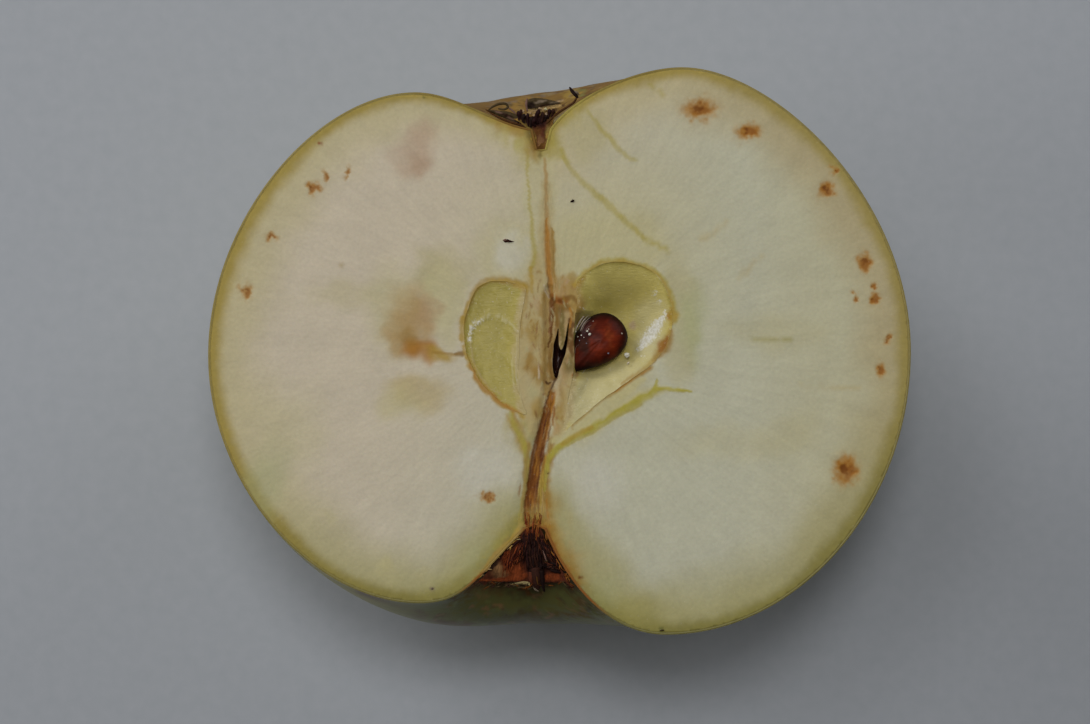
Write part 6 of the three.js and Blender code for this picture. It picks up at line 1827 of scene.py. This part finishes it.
CALYX_STRANDS = [  # stations of x, y, depth and radius, tint
    ([(-7.35, 24.7, 0.5, 0.06), (-6.8, 25.1, 0.35, 0.12), (-6.1, 25.35, 0.3, 0.14),
     (-5.5, 25.32, 0.35, 0.13), (-5.32, 25.0, 0.4, 0.12), (-5.7, 24.78, 0.4, 0.11),
     (-6.3, 24.85, 0.4, 0.07)], "dusk"),
    ([(-3.35, 25.9, 0.5, 0.08), (-3.42, 25.3, 0.35, 0.12), (-3.3, 24.6, 0.4, 0.08)], "film shade"),
    ([(-1.35, 23.3, 0.15, 0.06), (-0.6, 24.0, 0.12, 0.12), (0.1, 24.55, 0.12, 0.13),
     (0.9, 25.05, 0.12, 0.11), (1.5, 25.5, 0.12, 0.12), (1.78, 26.0, 0.1, 0.1)], "dark bark"),
    ([(1.05, 27.05, 0.3, 0.08), (1.25, 26.7, 0.1, 0.17), (1.6, 26.3, 0.02, 0.2), (1.88, 25.95, 0.1, 0.12)],
     "soot"),
    ([(1.5, 26.65, 0.0, 0.06), (1.8, 26.45, -0.05, 0.12), (2.0, 26.25, 0.05, 0.06)], "grey sepal"),
    ([(-7.6, 24.75, 0.35, 0.05), (-6.5, 24.05, 0.2, 0.1), (-5.2, 23.45, 0.15, 0.12),
     (-4.0, 23.1, 0.15, 0.1), (-3.3, 22.6, 0.15, 0.06)], "dark bark"),
    ([(-5.3, 25.0, 0.45, 0.06), (-4.9, 24.7, 0.35, 0.1), (-4.5, 24.3, 0.3, 0.06)], "film shade"),
]
STAMENS = [  # foot x, y, tip x, y, radius, tint
    (-4.25, 23.35, -4.25, 24.55, 0.17, "pip black"), (-3.95, 23.3, -3.95, 24.75, 0.14, "cocoa"),
    (-3.55, 23.1, -3.6, 24.25, 0.17, "soot"), (-3.2, 23.0, -3.25, 24.35, 0.13, "pip black"),
    (-2.95, 22.95, -2.85, 23.9, 0.16, "soot"), (-2.5, 23.0, -2.5, 23.75, 0.15, "pip black"),
    (-2.25, 23.3, -2.1, 24.7, 0.17, "pip black"), (-1.85, 23.4, -1.75, 24.45, 0.15, "cocoa"),
    (-1.6, 23.5, -1.45, 24.1, 0.13, "soot"), (-1.2, 23.8, -1.05, 24.75, 0.17, "pip black"),
    (-0.85, 24.0, -0.7, 24.75, 0.14, "cocoa"), (-0.6, 24.1, -0.5, 24.55, 0.1, "cocoa"),
]
BITS = [
    (-3.4, 24.1, 0.13, 0.2, "pollen"), (-2.62, 24.15, 0.14, 0.12, "pollen"),
    (-1.42, 24.78, 0.17, 0.14, "straw"), (-3.72, 24.55, 0.1, 0.16, "pollen"),
    (-1.35, 24.3, 0.1, 0.16, "bruise"), (-0.55, 24.9, 0.18, 0.1, "tan"),
    (-2.95, 24.35, 0.12, 0.1, "pollen"), (-2.0, 24.85, 0.2, 0.1, "pollen"),
    (-2.35, 23.95, 0.08, 0.12, "pale cork"),
]
draw = np.random.default_rng(17)
parts += [(*strand(in_model(stations), 9, 6), tint_name) for stations, tint_name in CALYX_STRANDS]
for x0, y0, x1, y1, size, tint_name in STAMENS:
    size, bend = 1.3 * size, 0.1 * draw.normal()
    low_z, high_z = CUT_Z - 0.35, CUT_Z - 0.12 + 0.1 * draw.normal()
    stations = [(x0, y0, low_z, 0.6 * size),
                ((x0 + x1) / 2 + bend, (y0 + y1) / 2, (low_z + high_z) / 2 + 0.08, 0.75 * size),
                (x1 + 0.4 * bend, y1 - 0.2 * (y1 - y0), high_z, 1.15 * size),
                (x1, y1, high_z - 0.05, 0.5 * size)]
    parts.append((*strand(stations, 9, 5), tint_name))
for k, (x, y, half_x, half_y, tint_name) in enumerate(BITS):
    parts.append((*lump((x, y, CUT_Z - 0.25), (half_x, half_y, 0.12), 0, 300 + k, 0.4), tint_name))
calyx_points, calyx_faces, calyx_tint = gathered(parts)
piece("withered_calyx", calyx_points, calyx_faces, [sepal_finish], "dried_calyx", "dried_calyx",
      tint=calyx_tint)

# %% [markdown]
# ## Crumbs
# A knife and a board leave a few specks on a wet face: one dark splinter and a tiny black chip. They are
# small lumps laid half sunk in the flesh.

# %% Specks on the face
SPECKS = [  # x, y, half-lengths, turn, tint
    (-5.4, 11.12, 0.5, 0.17, 0.12, -4, "cocoa"), (-5.65, 11.2, 0.2, 0.1, 0.14, 10, "film shade"),
    (-5.15, 11.08, 0.2, 0.09, 0.13, -10, "soot"), (1.35, 15.25, 0.19, 0.16, 0.1, 20, "soot"),
    (10.4, -28.75, 0.22, 0.1, 0.1, 0, "dusk"), (-13.0, -24.5, 0.14, 0.12, 0.05, 0, "grey sepal"),
]
parts = [(*lump((x, y, CUT_Z + 0.02), (a, b, c), spin, 400 + k, 0.45), tint_name)
         for k, (x, y, a, b, c, spin, tint_name) in enumerate(SPECKS)]
speck_points, speck_faces, speck_tint = gathered(parts)
piece("dry_specks", speck_points, speck_faces, [cork_finish], "stalk_cork", None, tint=speck_tint)

# %% [markdown]
# ## Floor, light and camera
# The half lies on a plain pale surface under soft studio light. Its key light hangs nearly overhead, a little
# toward the calyx, and low soft lamps at the left and the upper left fill the shadows there. That leaves a
# dark shadow only close under the stalk end. The camera looks almost straight down, four degrees from the
# stalk side. The floor and the lights aren't part of the apple.

# %% Stage
floor_finish, tree, shader, here = material("plain_matt_paper")
pulp = noise_of(tree, here, 1 / 1.5, 5.0, 0.5)
paper = add(tree, "ValToRGB", {"Fac": pulp}, stops=[(0.2, "#aeb2b6"), (0.8, "#b5b8bc")])
tree.links.new(paper.outputs["Color"], shader.inputs["Base Color"])
shader.inputs["Roughness"].default_value = 0.8
FLOOR_HALF = 1200
size = FLOOR_HALF * MM
floor_mesh = bpy.data.meshes.new("floor")
floor_mesh.from_pydata([(-size, -size, 0), (size, -size, 0), (size, size, 0), (-size, size, 0)], [],
                       [(0, 1, 2, 3)])
floor_mesh.materials.append(floor_finish)
floor_plane = bpy.data.objects.new("floor", floor_mesh)
bpy.context.scene.collection.objects.link(floor_plane)

# %% Light
scene = bpy.context.scene
scene.view_settings.view_transform = "Standard"
world = bpy.data.worlds.new("soft_room")
scene.world = world
world.use_nodes = True
world.node_tree.nodes["Background"].inputs["Color"].default_value = linear("#eef1f5")
world.node_tree.nodes["Background"].inputs["Strength"].default_value = 0.012
KEY_POWER = 2.0  # watts
LAMPS = [  # lean from overhead and turn round the fruit in degrees, width in metres, share of the key's power
    ("overhead", 0, 0, 0.25, 0.4), ("key", 10, 90, 0.22, 1.0), ("upper_left", 22, 135, 0.3, 0.4),
    ("low_left", 64, 180, 0.5, 0.7), ("low_window", 64, 135, 0.5, 1.5), ("low_right", 64, 45, 0.5, 0.7),
]
for name, lean, way, width, share in LAMPS:
    data = bpy.data.lights.new(name, "AREA")
    data.shape = "DISK"
    data.size = width
    data.energy = KEY_POWER * share
    data.color = linear("#fbfcff")[:3]
    lean, way = math.radians(lean), math.radians(way)
    place = Vector((math.sin(lean) * math.cos(way), math.sin(lean) * math.sin(way), math.cos(lean)))
    obj = bpy.data.objects.new(name, data)
    obj.location = place + Vector((0, 0, 0.02))
    obj.rotation_euler = (-place).to_track_quat("-Z", "Y").to_euler()
    scene.collection.objects.link(obj)

# %% Camera
VIEW_TILT, VIEW_DISTANCE, VIEW_WIDTH = 4.0, 0.400, 0.11164
VIEW_MIDDLE = Vector((-1.49 * MM, -1.33 * MM, CUT_Z * MM))
camera_data = bpy.data.cameras.new("camera")
camera_data.sensor_width = 36
camera_data.lens = 36 * VIEW_DISTANCE / VIEW_WIDTH
camera_data.clip_start = 0.01
camera_data.clip_end = 10
camera = bpy.data.objects.new("camera", camera_data)
tilt = math.radians(VIEW_TILT)
camera.location = VIEW_MIDDLE + VIEW_DISTANCE * Vector((0, -math.sin(tilt), math.cos(tilt)))
camera.rotation_euler = (tilt, 0, 0)
scene.collection.objects.link(camera)
scene.camera = camera
print("the camera sees", round(VIEW_WIDTH / MM, 1), "mm across at the cut face")
